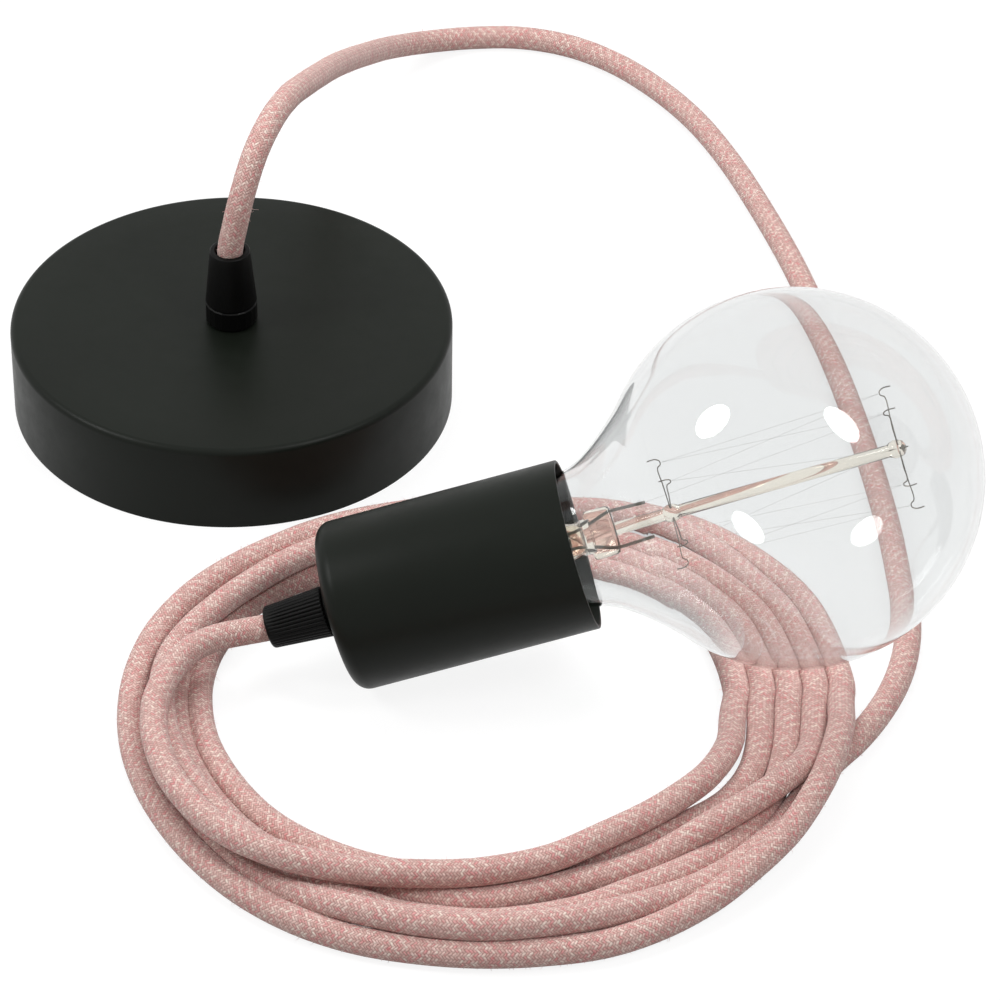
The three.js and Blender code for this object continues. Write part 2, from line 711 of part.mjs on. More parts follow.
function socketSkirt() {
  const outer = SOCKET_DIAMETER / 2;
  const spigot = SOCKET_INNER - SEAT_GAP;
  const bottom = DOME_RIM + SEAT_GAP;
  const top = bottom + SKIRT_LENGTH;
  const spigotBottom = FLANGE_TOP + SEAT_GAP;
  return revolve(
    [
      [spigot - SPIGOT_WALL, spigotBottom],
      [spigot, spigotBottom],
      [spigot, bottom],
      [outer, bottom],
      [outer, top - SKIRT_LIP],
      [outer - SKIRT_LIP, top],
      [SOCKET_INNER, top],
      [SOCKET_INNER - 0.6, top - 0.6],
      [SOCKET_INNER - 0.6, bottom + 2],
      [spigot - SPIGOT_WALL, bottom + 1],
    ],
    28,
  );
}

// The brass screw shell rests with its flange on the carrier, and its mouth opens a little for the bulb.
function screwShell() {
  const top = FLANGE_BOTTOM + SCREW_SHELL_LENGTH;
  const inner = EDISON_DIAMETER / 2 + SEAT_GAP + 0.1;
  const outer = inner + SCREW_SHELL_SHEET;
  const flange = SOCKET_INNER - SEAT_GAP - 0.4;
  const flare = SCREW_SHELL_MOUTH_FLARE;
  return revolve(
    [
      [SCREW_SHELL_FLANGE_HOLE / 2, FLANGE_BOTTOM],
      [flange, FLANGE_BOTTOM],
      [flange, FLANGE_TOP],
      [outer, FLANGE_TOP],
      [outer, top - flare],
      [outer + flare, top],
      [inner + flare, top],
      [inner, top - flare],
      [inner, FLANGE_TOP],
      [SCREW_SHELL_FLANGE_HOLE / 2, FLANGE_TOP],
    ],
    24,
  );
}

// Bulb. Its own frame has z = 0 on the tip contact and the globe towards +z.

// The cap is thin sheet: a chamfered foot, the thread's plain wall, a waist and a collar round the glass.
function bulbCap() {
  const foot = EDISON_DIAMETER / 2 - CAP_CHAMFER;
  const crest = EDISON_DIAMETER / 2;
  const waist = CAP_WAIST_DIAMETER / 2;
  const collar = CAP_COLLAR_DIAMETER / 2;
  const outside = [
    [foot, CAP_BOTTOM],
    [crest, CAP_BOTTOM + CAP_CHAMFER],
    [crest, CAP_THREAD_END],
    [waist, CAP_THREAD_END + 1],
    [waist, CAP_THREAD_END + 1.6],
    [collar, CAP_THREAD_END + 2.6],
    [collar, CAP_LENGTH],
  ];
  const inside = [
    [collar - CAP_SHEET, CAP_LENGTH],
    [collar - CAP_SHEET, CAP_THREAD_END + 2.8],
    [waist - CAP_SHEET, CAP_THREAD_END + 1.8],
    [waist - CAP_SHEET, CAP_THREAD_END + 0.8],
    [crest - CAP_SHEET, CAP_THREAD_END - 0.2],
    [crest - CAP_SHEET, CAP_BOTTOM + CAP_CHAMFER + 0.2],
    [foot - 0.2, CAP_BOTTOM + CAP_SHEET],
  ];
  const hole = CAP_HOLE_DIAMETER / 2;
  return revolve([[hole, CAP_BOTTOM], ...outside, ...inside, [hole, CAP_BOTTOM + CAP_SHEET]], 24);
}

function capInsulator() {
  const bore = TIP_STEM_DIAMETER / 2 + SEAT_GAP;
  const hole = CAP_HOLE_DIAMETER / 2 - SEAT_GAP;
  const shelf = CAP_BOTTOM + CAP_SHEET + SEAT_GAP;
  const bottom = TIP_THICKNESS + SEAT_GAP;
  return revolve(
    [
      [bore, bottom],
      [TIP_DIAMETER / 2 + 0.4, bottom],
      [hole, CAP_BOTTOM - 0.8],
      [hole, shelf],
      [hole + 1, shelf],
      [hole + 1, shelf + 1.4],
      [bore, shelf + 1.4],
    ],
    20,
  );
}

function capTip() {
  const head = TIP_DIAMETER / 2;
  const stem = TIP_STEM_DIAMETER / 2;
  const top = CAP_BOTTOM + 3;
  return revolve(
    [
      [0, 0],
      [head - 1.2, 0.1],
      [head, TIP_THICKNESS],
      [stem, TIP_THICKNESS],
      [stem, top],
      [0, top],
    ],
    16,
  );
}

// Outline of the glass from the neck in the cap to the top of the globe, as [radius, height] points.
function glassOutline() {
  const radius = GLOBE_DIAMETER / 2;
  const start = new THREE.Vector2(NECK_START_DIAMETER / 2, NECK_START);
  const seal = new THREE.Vector2(NECK_START_DIAMETER / 2, CAP_LENGTH + 0.4);
  const middle = new THREE.Vector2(NECK_MIDDLE_DIAMETER / 2, NECK_MIDDLE);
  const blend = degrees(GLOBE_BLEND_DEG);
  const onGlobe = new THREE.Vector2(radius * Math.sin(blend), GLOBE_TO_TIP - radius * Math.cos(blend));
  const alongNeck = middle.clone().sub(seal).normalize();
  const alongGlobe = new THREE.Vector2(Math.cos(blend), Math.sin(blend));
  const neck = new THREE.CubicBezierCurve(
    seal,
    seal.clone().add(new THREE.Vector2(0.9 * NECK_BLEND, 0.5 * NECK_BLEND)),
    middle.clone().addScaledVector(alongNeck, -NECK_BLEND),
    middle,
  );
  const shoulder = new THREE.CubicBezierCurve(
    middle,
    middle.clone().addScaledVector(alongNeck, NECK_BLEND),
    onGlobe.clone().addScaledVector(alongGlobe, -NECK_BLEND),
    onGlobe,
  );
  const points = [start, ...neck.getPoints(3), ...shoulder.getPoints(4).slice(1)];
  const steps = 10;
  for (let i = 1; i <= steps; i++) {
    const angle = blend + ((Math.PI - blend) * i) / steps;
    const across = i === steps ? 0 : radius * Math.sin(angle);
    points.push(new THREE.Vector2(across, GLOBE_TO_TIP - radius * Math.cos(angle)));
  }
  return points;
}

// The same outline moved inwards by the glass's thickness, square to itself.
function insetOutline(points, depth) {
  return points.map((point, i) => {
    const before = points[Math.max(i - 1, 0)];
    const after = points[Math.min(i + 1, points.length - 1)];
    const along = after.clone().sub(before).normalize();
    if (point.x === 0) {
      return new THREE.Vector2(0, point.y - depth);
    }
    return new THREE.Vector2(point.x - depth * along.y, point.y + depth * along.x);
  });
}

function bulbGlass() {
  const outside = glassOutline();
  const inside = insetOutline(outside, GLASS_WALL).reverse();
  const profile = [...inside, ...outside].map((point) => [point.x, point.y]);
  return revolve(profile, 34);
}

function beadPoints(middle) {
  const half = BEAD_LENGTH / 2;
  const stem = ROD_DIAMETER / 2;
  const swell = BEAD_DIAMETER / 2 - stem;
  return [-1, -0.5, 0, 0.5, 1].map((share) => [stem + swell * (1 - share * share), middle + half * share]);
}

// Flare, pinch and rod are one piece of glass. Two holes in the pinch let the lead wires through.
function glassStem() {
  const rim = NECK_START_DIAMETER / 2 - GLASS_WALL - SEAT_GAP;
  const tubeRadius = FLARE_TUBE_DIAMETER / 2;
  const outside = [
    [rim, NECK_START],
    [rim - 1.6, NECK_START + 1.4],
    [tubeRadius + 2, NECK_START + 4.4],
    [tubeRadius + 0.5, NECK_START + 8.6],
    [tubeRadius, NECK_START + 12],
    [tubeRadius, PINCH_START + 1],
    [0, PINCH_START + 1],
  ];
  const inside = [
    [0, PINCH_START - 0.6],
    [tubeRadius - STEM_WALL - 0.8, PINCH_START - 1.2],
    [tubeRadius - STEM_WALL, PINCH_START - 3],
    [tubeRadius + 0.5 - STEM_WALL, NECK_START + 8.4],
    [tubeRadius + 2 - STEM_WALL, NECK_START + 4.9],
    [rim - 1.6 - STEM_WALL, NECK_START + 1.9],
    [rim - STEM_WALL - 0.2, NECK_START],
  ];
  const flare = revolve([...inside, ...outside], 16);
  const pinch = pinchBlock();
  const core = ROD_DIAMETER / 2;
  const shaft = revolve(
    [
      [0, PINCH_END - 3],
      [core, PINCH_END - 3],
      ...beadPoints(LOWER_BEAD),
      ...beadPoints(UPPER_BEAD),
      [core, ROD_END - 0.6],
      [core - 0.6, ROD_END],
      [0, ROD_END],
    ],
    10,
  );
  const hole = LEAD_DIAMETER + 2 * SEAT_GAP;
  const cuts = [-1, 1].map((side) => wire(leadPoints(side), hole, 8, 2));
  return carve([flare, pinch, shaft], cuts);
}

function pinchBlock() {
  const outline = new THREE.Shape();
  const half = PINCH_WIDTH / 2;
  const round = PINCH_THICKNESS / 2;
  outline.absarc(half - round, 0, round, -Math.PI / 2, Math.PI / 2, false);
  outline.absarc(round - half, 0, round, Math.PI / 2, (3 * Math.PI) / 2, false);
  const depth = PINCH_END - PINCH_START;
  const geometry = new THREE.ExtrudeGeometry(outline, { depth, bevelEnabled: false, curveSegments: 5 });
  return geometry.translate(0, 0, PINCH_START);
}

// A lead rises inside the flare, passes through the pinch and leans back over it.
function leadPoints(side) {
  return [
    new THREE.Vector3(side * LEAD_ROOT_SPREAD, 0, CAP_BOTTOM + 6),
    new THREE.Vector3(side * LEAD_ROOT_SPREAD, 0, NECK_START + 2),
    new THREE.Vector3(side * LEAD_ROOT_SPREAD, 0, PINCH_START - 3),
    new THREE.Vector3(side * (LEAD_ROOT_SPREAD + 1.2), 0, PINCH_START + 2),
    new THREE.Vector3(side * (LEAD_SPREAD + 0.2), 0, PINCH_END - 0.5),
    new THREE.Vector3(side * (LEAD_SPREAD + 0.2), 0, PINCH_END + 2.5),
    new THREE.Vector3(side * LEAD_SPREAD, 0, LEAD_END),
  ];
}

// The nine hooks share one round of ten places, and the tenth is left free between the filament's two ends.
const hookTurn = (place) => degrees(54 - 36 * place);

// A support hook stands out of a bead of the rod and turns over at its end.
function supportHook(height, reach, turn, bend) {
  const root = BEAD_DIAMETER / 2 + SEAT_GAP;
  const spot = (radius, z) => new THREE.Vector3(radius * Math.cos(turn), radius * Math.sin(turn), z);
  const points = [
    spot(root, height),
    spot(0.6 * reach, height),
    spot(reach - 0.8, height),
    spot(reach, height + 0.3 * bend),
    spot(reach, height + bend),
  ];
  return wire(points, WIRE_DIAMETER, 6, 1);
}

// The filament runs from one lead over the hooks, up and down, to the other lead.
function filamentPoints() {
  const clear = WIRE_DIAMETER / 2 + FILAMENT_DIAMETER / 2 + SEAT_GAP;
  const spot = (radius, turn, z) => new THREE.Vector3(radius * Math.cos(turn), radius * Math.sin(turn), z);
  const points = [];
  const over = (reach, turn, height, way) => {
    for (const offset of [-1, 0, 1]) {
      const lift = offset ? 0 : clear;
      points.push(spot(reach - 1.6, turn + offset * 0.06, height + way * lift));
    }
  };
  const tipGap = LEAD_DIAMETER / 2 + SEAT_GAP;
  points.push(new THREE.Vector3(LEAD_SPREAD, 0, LEAD_END + tipGap));
  for (let i = 0; i < UPPER_HOOKS; i++) {
    over(UPPER_HOOK_REACH, hookTurn(2 * i), UPPER_BEAD, 1);
    if (i < LOWER_HOOKS) {
      over(LOWER_HOOK_REACH, hookTurn(2 * i + 1), LOWER_BEAD, -1);
    }
  }
  points.push(new THREE.Vector3(-LEAD_SPREAD, 0, LEAD_END + tipGap));
  return points;
}

function globeBulb() {
  const bulb = new THREE.Group();
  bulb.position.z = BULB_TIP_REST;
  bulb.add(piece('bulb_cap', bulbCap(), NICKEL));
  bulb.add(piece('bulb_cap_insulator', capInsulator(), VITRITE));
  bulb.add(piece('bulb_cap_contact', capTip(), BRASS));
  const blown = new THREE.Group();
  blown.rotation.z = degrees(BULB_TURN_DEG);
  blown.add(piece('bulb_glass', bulbGlass(), CLEAR_GLASS));
  blown.add(piece('bulb_stem', glassStem(), STEM_GLASS));
  blown.add(piece('lead_wire_upper', wire(leadPoints(1), LEAD_DIAMETER, 6, 2), MOLYBDENUM));
  blown.add(piece('lead_wire_lower', wire(leadPoints(-1), LEAD_DIAMETER, 6, 2), MOLYBDENUM));
  for (let i = 0; i < LOWER_HOOKS; i++) {
    const hook = supportHook(LOWER_BEAD, LOWER_HOOK_REACH, hookTurn(2 * i + 1), HOOK_BEND);
    blown.add(piece(`lower_hook_${i + 1}`, hook, MOLYBDENUM));
  }
  for (let i = 0; i < UPPER_HOOKS; i++) {
    const hook = supportHook(UPPER_BEAD, UPPER_HOOK_REACH, hookTurn(2 * i), -HOOK_BEND);
    blown.add(piece(`upper_hook_${i + 1}`, hook, MOLYBDENUM));
  }
  blown.add(piece('filament', wire(filamentPoints(), FILAMENT_DIAMETER, 5, 2), TUNGSTEN));
  bulb.add(blown);
  return bulb;
}

// A core runs from the end of the cord in the grip's tail to the side of its terminal post.
function holderCore(side) {
  const start = side * CORE_SPREAD;
  const end = side * (CARRIER_POST_SPACING / 2 - POST_DIAMETER / 2 - SEAT_GAP);
  const tailEnd = HOLDER_GRIP.tailLength;
  const level = tailEnd + 2.7;
  const points = [
    new THREE.Vector3(0, start, SEAT_GAP - TAIL_INSIDE),
    new THREE.Vector3(0, start, tailEnd - 1),
    new THREE.Vector3(0, 1.2 * start, tailEnd + 0.6),
    new THREE.Vector3(0, 2.1 * start, level - 0.6),
    new THREE.Vector3(0, 3.4 * start, level),
    new THREE.Vector3(0, end, level),
  ];
  return wire(points, CORE_DIAMETER, 6, 2);
}

function lampholder() {
  const edge = SHELL_EDGE_RADIUS;
  const tilt = degrees(SHELL_TILT_DEG);
  const restHeight = edge + (SHELL_DIAMETER / 2 - edge) * Math.cos(tilt) - edge * Math.sin(tilt);

  const heading = new THREE.Group();
  heading.position.set(SHELL_PLACE.x, SHELL_PLACE.y, restHeight);
  heading.rotation.z = degrees(SHELL_HEADING_DEG);

  const tilted = new THREE.Group();
  tilted.rotation.y = Math.PI / 2 - tilt;
  heading.add(tilted);
  tilted.add(piece('lampholder_shell', shellCup(), SATIN_BLACK));

  // The socket and its bulb have play in the shell's hole, and lean up where the globe rests on the coil.
  const works = new THREE.Group();
  works.rotation.y = -degrees(WORKS_LEAN_DEG);
  tilted.add(works);

  const grip = new THREE.Group();
  grip.rotation.x = Math.PI;
  grip.add(piece('holder_grip_base', gripBase(HOLDER_GRIP), BLACK_PLASTIC));
  grip.add(piece('holder_grip_cap', gripCap(HOLDER_GRIP), BLACK_PLASTIC));
  works.add(grip);

  const nutTop = HOLDER_NUT_BOTTOM + NUT_HEIGHT;
  const nut = hexagonNut(NUT_ACROSS_FLATS, 2 * THREAD_HOLE_RADIUS, HOLDER_NUT_BOTTOM, nutTop);
  works.add(piece('holder_grip_nut', nut, ZINC_STEEL));
  works.add(piece('socket_dome', socketDome(), PORCELAIN));
  works.add(piece('contact_carrier', contactCarrier(), PORCELAIN));
  works.add(piece('centre_contact', centreContact(), BRASS));
  works.add(piece('screw_shell', screwShell(), BRASS));
  works.add(piece('socket_skirt', socketSkirt(), PORCELAIN));
  for (const [side, name] of [[-1, 'live'], [1, 'neutral']]) {
    const post = terminalPost().translate(0, (side * CARRIER_POST_SPACING) / 2, 0);
    works.add(piece(`terminal_post_${name}`, post, BRASS));
    works.add(piece(`holder_core_${name}`, holderCore(side), side < 0 ? CORE_BROWN : CORE_BLUE));
  }
  works.add(globeBulb());

  const tail = rod(CORD_DIAMETER, -gripReach() - TAIL_OUTSIDE, -TAIL_INSIDE, CORD_SIDES);
  works.add(piece('cord_tail', tail, TEXTILE));
  return heading;
}

const gripReach = () => 2 * SEAT_GAP + HOLDER_GRIP.flangeHeight + HOLDER_GRIP.capHeight;

// Free cord

function cordArch() {
  const points = ARCH_ROUTE.map((place) => new THREE.Vector3(...place));
  const path = new THREE.CatmullRomCurve3(points, false, 'centripetal');
  return tube(path, CORD_DIAMETER, CORD_SIDES, 48);
}

// The coil is lowest where the globe rests on it, and swells to two layers on the other side.
function cordCoil() {
  const inner = COIL_INNER_RADIUS;
  const outer = COIL_OUTER_RADIUS;
  const high = COIL_HEIGHT;
  const ring = revolve(
    [
      [inner + 1.6, 0],
      [outer - 1.6, 0],
      [outer, 2],
      [outer, 4.4],
      [outer - 3, 9.4],
      [outer - 7, high],
      [inner + 7, high],
      [inner + 3, 9.4],
      [inner, 4.4],
      [inner, 2],
    ],
    40,
  );
  const low = degrees(COIL_LOW_HEADING_DEG);
  const position = ring.attributes.position;
  for (let i = 0; i < position.count; i++) {
    const turn = Math.atan2(position.getY(i), position.getX(i)) - low;
    const share = COIL_LOW_SHARE + ((1 - COIL_LOW_SHARE) * (1 - Math.cos(turn))) / 2;
    position.setZ(i, position.getZ(i) * share);
  }
  return ring.translate(COIL_CENTRE.x, COIL_CENTRE.y, 0);
}

const cordSet = new THREE.Group();
cordSet.add(ceilingRose());
cordSet.add(lampholder());
cordSet.add(piece('cord_arch', cordArch(), TEXTILE));
cordSet.add(piece('cord_coil', cordCoil(), TEXTILE));

export default cordSet;
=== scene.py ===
import json
import math
import random

import bmesh
import bpy
from mathutils import Matrix, Vector


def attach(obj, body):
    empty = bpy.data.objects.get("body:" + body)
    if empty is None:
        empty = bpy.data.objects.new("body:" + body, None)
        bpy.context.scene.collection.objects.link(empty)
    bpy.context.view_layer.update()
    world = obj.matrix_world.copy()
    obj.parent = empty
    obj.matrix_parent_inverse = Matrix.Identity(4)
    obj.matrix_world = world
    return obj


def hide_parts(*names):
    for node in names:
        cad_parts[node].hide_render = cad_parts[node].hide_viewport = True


# Looks of a pendant cord set: ceiling rose, textile cord, lampholder and clear globe bulb.
# Sizes are written in millimetres, and MM turns them into the frame's metres.

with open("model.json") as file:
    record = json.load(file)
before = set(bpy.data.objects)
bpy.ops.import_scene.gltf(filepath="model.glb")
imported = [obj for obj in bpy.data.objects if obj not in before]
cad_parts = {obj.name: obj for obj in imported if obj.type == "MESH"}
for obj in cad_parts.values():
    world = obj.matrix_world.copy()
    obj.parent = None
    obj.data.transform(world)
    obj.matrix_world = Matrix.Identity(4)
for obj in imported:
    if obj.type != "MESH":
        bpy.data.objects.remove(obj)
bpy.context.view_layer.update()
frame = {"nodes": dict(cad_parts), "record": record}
random.seed(7)

MM = 0.001
NODES = frame["nodes"]

# Camera
CAMERA_PLACE = (6.95, -908.05, 708.3)
CAMERA_DOWN_DEG = 37.92
CAMERA_ROLL_DEG = 1.05
CAMERA_LENS = 155.5

# Places of the parts, as in the frame
ROSE_PLACE = (-66.8, 47.2, 0)
ROSE_HEIGHT = 25
SHELL_PLACE = (-33.6, -69.9)
SHELL_RADIUS = 21.75
SHELL_LENGTH = 63
SHELL_EDGE = 4
SHELL_HEADING_DEG = 5.2
SHELL_TILT_DEG = 16.3
WORKS_LEAN_DEG = 1.25
BULB_TIP_REST = 27
BULB_TURN_DEG = 141
PLAY = 0.3

# Cord grips, each with a cap over a split collet
THREAD_RADIUS = 5
THREAD_HOLE = THREAD_RADIUS + PLAY
COLLET_LENGTH = 10.5
COLLET_TIP = 4.25
RIB_DEPTH = 0.3
ROSE_GRIP = {"flange_height": 5.8, "bottom": 13.9, "top": 10.9, "height": 16.2, "rim": 0.5, "ribs": 0}
HOLDER_GRIP = {"flange_height": 1.8, "bottom": 13.1, "top": 10.9, "height": 15.6, "rim": 0.9, "ribs": 36}

# Bulb
CAP_THREAD_RADIUS = 13.025
CAP_THREAD_DEPTH = 0.895
CAP_THREAD_PITCH = 3.629
GLOBE_RADIUS = 47.5
GLOBE_MIDDLE = 92
GLASS_WALL = 0.8
NECK_START = 24
NECK_SEAL = 27.4
NECK_RADIUS = 12.5
NECK_MIDDLE = (18.8, 41.0)
NECK_BLEND = 5
GLOBE_START_DEG = 41
ROD_RADIUS = 1.6
LOWER_BEAD = 60.7
UPPER_BEAD = 119.2
LOWER_REACH = 14.6
UPPER_REACH = 16.4
HOOK_DIAMETER = 0.32
HOOK_NOTCH = 0.9
NOTCH_MIDDLE = 1.2
FILAMENT_DIAMETER = 0.05
LEAD_REACH = 4.4
LEAD_TOP = 55.5

# Sides of the turned pieces
CANOPY_SIDES = 180
SHELL_SIDES = 144
GLOBE_SIDES = 144
CAP_THREAD_SIDES = 72
FLARE_SIDES = 48
ROD_SIDES = 28

# Light: the room's even light, the floor's own white, its grey where shadows are seen on it,
# and its grey for the light that it throws back on the set. Lengths here are in metres.
ROOM_LIGHT = 0.32
FLOOR_GLOW = 0.88
FLOOR_SHADOW = 0.16
FLOOR_BOUNCE = 0.5
FLOOR_REACH = 6.0
LAMP_TARGET = (0.02, -0.02, 0.02)

# Soft boxes: the way toward each from the set, distance, width, height, power in watts,
# and whether gloss and glass show it
SOFT_BOXES = {
    "left_soft_box": ((-0.71, -0.09, 0.70), 1.25, 0.36, 0.47, 6, True),
    "right_soft_box": ((0.425, -0.30, 0.854), 1.35, 0.3, 0.56, 5.6, True),
    "top_soft_box": ((-0.1, 0.42, 0.9), 0.9, 0.8, 0.7, 5, False),
}

# Cord
CORD_DIAMETER = 6.9
CORD_RADIUS = CORD_DIAMETER / 2
RING_STEP = 2.0
CORD_SIDES = 20
CORD_EXIT = (-66.7, 47.2, 47.6)
COIL_CENTRE = (4.5, -91.2)

# Heights of a turn's centre line: on the table, and on top of another turn
LOW = CORD_RADIUS
TOP = 10.1

# Braid, with its yarns' tones from the deepest pink to cream, the painted shade in the grooves between its
# yarns, and its loose fibres
BRAID_PITCH = 20.0
BRAID_CARRIERS = 24
YARN_WOBBLE = 0.22
BRAID_GROOVE_PAINTED_SHADE = (132, 82, 72)
BRAID_TONES = [
    (0.30, (209, 124, 126)), (0.46, (223, 160, 158)), (0.60, (203, 169, 160)), (0.76, (229, 193, 186)),
    (0.92, (238, 222, 210)),
]
FIBRES = 12000
FIBRE_THICKNESS = 0.09
FIBRE_SHORTEST = 0.3
FIBRE_SPREAD = 1.3
FIBRE_LEAN = 1.2

# The cord from inside the rose's grip, over the back and down the right side.
ARCH_ROUTE = [
    (-66.8, 47.2, 34), CORD_EXIT, (-65.4, 47.7, 54.5),
    (-63.1, 50.6, 64), (-60, 57.6, 72), (-56.2, 68.5, 75.6), (-52.5, 82, 74), (-49.4, 98, 67.6),
    (-46.3, 118, 58.2), (-43.1, 140, 47.4), (-39.5, 163, 35.4), (-35.2, 185.2, 23.6), (-29, 205.6, 13.2),
    (-19, 220.6, 6), (-5, 227.6, 3.5), (10, 228.4, LOW), (25, 224.4, LOW), (39, 215.2, LOW),
    (51.5, 201.6, LOW), (63, 184, LOW), (73, 161.5, LOW), (81.6, 136, LOW), (89.4, 109, LOW),
    (95.6, 82, LOW), (100.6, 56, LOW), (104.6, 31, LOW), (107.8, 8, LOW), (110.1, -12, LOW),
    (111.5, -30, LOW), (112.3, -46, LOW), (111.7, -58.2, LOW), (109.8, -68.6, LOW), (106.8, -78.1, LOW),
    (102.7, -87.2, LOW),
]

# Each turn of the coil starts on the right and runs over the front, the left and the far side:
# degrees round the coil, distance from its centre, height.
COIL_TURNS = [
    [(4, 92.2, LOW), (10, 86.7, LOW), (20, 82.9, LOW), (30, 81.7, LOW), (40, 81.4, LOW), (50, 81.4, LOW),
     (60, 81.6, 5.1), (70, 81.5, 7.3), (80, 81.4, 8.4), (90, 81.4, 8.75), (100, 81.4, 8.75),
     (108, 81.3, 8.5), (114, 81.2, 7.8), (120, 80.9, 6.3), (126, 80.4, 4.6), (133, 80.2, LOW),
     (140, 80.1, LOW), (150, 80.2, LOW), (160, 80.8, LOW), (170, 81.8, LOW), (180, 82.8, LOW),
     (190, 83.9, LOW), (200, 85.3, LOW), (210, 86.0, LOW), (225, 86.4, LOW), (235, 86.2, LOW),
     (245, 85.4, LOW), (254, 84.6, LOW), (265, 84.4, LOW), (275, 84.8, LOW), (285, 86.4, LOW),
     (295, 87.8, LOW), (307, 88.6, LOW), (319, 88.6, LOW), (331, 88.6, LOW)],
    [(-10, 88.4, 3.5), (-4, 88.4, 4.7), (0, 88.4, 6.6), (4, 88.2, 8.7), (8, 87.8, 9.8), (14, 87.3, TOP),
     (21, 87.0, TOP), (30, 86.4, 8.2), (36, 86.2, 7.3), (42, 86.3, 6.1), (50, 87.3, 4.6), (60, 88.1, 3.5),
     (70, 87.3, LOW), (80, 85.9, LOW), (90, 85.0, LOW), (100, 85.3, LOW), (110, 86.2, LOW),
     (120, 86.7, LOW), (130, 86.7, LOW), (140, 86.5, LOW), (150, 86.6, LOW), (160, 87.1, LOW),
     (170, 88.0, 3.8), (178, 88.4, 5.2), (186, 88.2, 7.2), (194, 87.2, 8.9), (200, 85.9, 9.8),
     (208, 84.4, 9.9), (216, 82.4, 9.9), (224, 80.5, 9.9), (232, 79.1, 9.9), (238, 78.1, 9.9),
     (244, 77.2, 9.9), (250, 76.4, 9.9), (258, 76.2, 9.9), (266, 76.8, 9.8), (275, 78.0, 9.5),
     (285, 79.6, 9.1), (295, 81.0, 8.5), (305, 81.6, 7.2), (315, 81.8, 5.2), (323, 81.8, 3.6),
     (331, 81.8, LOW)],
    [(-10, 81.7, LOW), (-4, 81.8, LOW), (0, 81.8, 3.8), (8, 81.5, 5.4), (15, 80.3, 7.7), (21, 78.2, 9.4),
     (28, 75.4, TOP), (36, 72, 9.3), (41, 70.3, 7.9), (46, 68.7, 5.6), (52, 67.6, 3.9), (60, 67, LOW),
     (90, 66.8, LOW), (100, 67.3, LOW), (108, 67.9, LOW), (116, 68.7, LOW), (124, 69.8, LOW),
     (132, 71.5, LOW), (140, 73.0, LOW), (150, 73.9, LOW), (160, 75.0, LOW), (170, 76.2, LOW),
     (180, 77.2, 3.6), (190, 78.4, 4.5), (200, 79.4, 4.6), (210, 80.1, 4.6), (225, 79.8, 3.6),
     (240, 79.0, LOW), (250, 78.0, LOW), (260, 77.2, LOW), (270, 76.4, LOW), (280, 75.6, LOW),
     (290, 75.1, LOW), (305, 75, LOW), (319, 75, LOW), (331, 75, LOW)],
    [(-10, 74.9, LOW), (-4, 75, LOW), (2, 75, LOW), (10, 75, LOW), (20, 75.3, LOW), (30, 75.7, LOW),
     (40, 75.3, LOW), (50, 74.9, LOW), (60, 74.6, LOW), (70, 74.4, LOW), (80, 74.4, LOW), (90, 74.5, LOW),
     (100, 74.5, LOW), (106, 74.7, LOW), (114, 75.0, 4.7), (120, 75.2, 6.3), (126, 75.6, 7.6),
     (133, 76.6, 8.6), (140, 77.5, 9.2), (150, 78.1, 9.2), (160, 79.1, 9.2), (170, 80.1, 9.3),
     (180, 80.8, 9.9), (190, 80.4, 10.4), (198, 78.4, 10.6), (206, 76.2, 10.5), (214, 74.7, 10.2),
     (222, 73.8, 10), (230, 73.0, 9.9), (238, 71.9, 9.6), (246, 70.8, 9.4), (254, 69.9, 8.6),
     (262, 69.3, 7.2), (270, 69.0, 5.6), (278, 68.6, 4.2), (286, 68.3, LOW), (302, 68.3, LOW),
     (318, 68.3, LOW), (331, 68.3, LOW)],
    [(-10, 68.1, LOW), (-4, 68.2, LOW), (2, 68.3, LOW), (8, 68.3, LOW), (15, 68.2, LOW), (22, 67.5, LOW),
     (30, 65.6, LOW), (45, 61.7, LOW), (60, 59.6, LOW), (90, 59.4, LOW), (100, 60.2, LOW),
     (112, 61.6, LOW), (122, 62.9, LOW), (132, 64.4, LOW), (141, 65.8, LOW), (151, 67.0, LOW),
     (162, 68.6, LOW), (171, 70.2, LOW), (180, 71.6, LOW), (190, 73.1, LOW), (200, 74.0, LOW),
     (212, 74.3, LOW), (222, 73.4, LOW), (230, 71.4, LOW), (238, 69, LOW), (248, 66.2, LOW),
     (258, 63.9, LOW), (268, 62.4, LOW), (278, 61.6, LOW), (290, 61.5, LOW), (305, 61.5, LOW),
     (319, 61.5, LOW), (331, 61.5, LOW)],
    [(-10, 61.5, LOW), (-4, 61.5, LOW), (0, 61.4, 3.8), (8, 61.3, 5), (15, 61.0, 6.6), (22, 60.6, 8),
     (30, 60.2, 9.5), (45, 59.8, TOP), (60, 60.4, 9.7), (75, 61.2, 9.3), (90, 62.9, 9.2), (98, 65.0, 9.6),
     (105, 67.4, 10.2), (112, 70.6, 10.8), (118, 74.0, 11.9), (124, 77.6, 13.2), (130, 80.6, 14.0),
     (137, 82.4, 13.6), (145, 83.3, 13.2), (155, 83.9, 13.2), (165, 83.5, 13.5)],
]

# The coil isn't a true circle: what it stands out by, at some degrees round it.
COIL_SHAPE = [
    (0, 0), (30, 0), (60, -2.6), (75, -1), (90, 0), (250, 0), (270, 1.6), (295, 3.5), (306, 4.8),
    (319, 5.4), (335, 5), (346, 2.8), (360, 0),
]

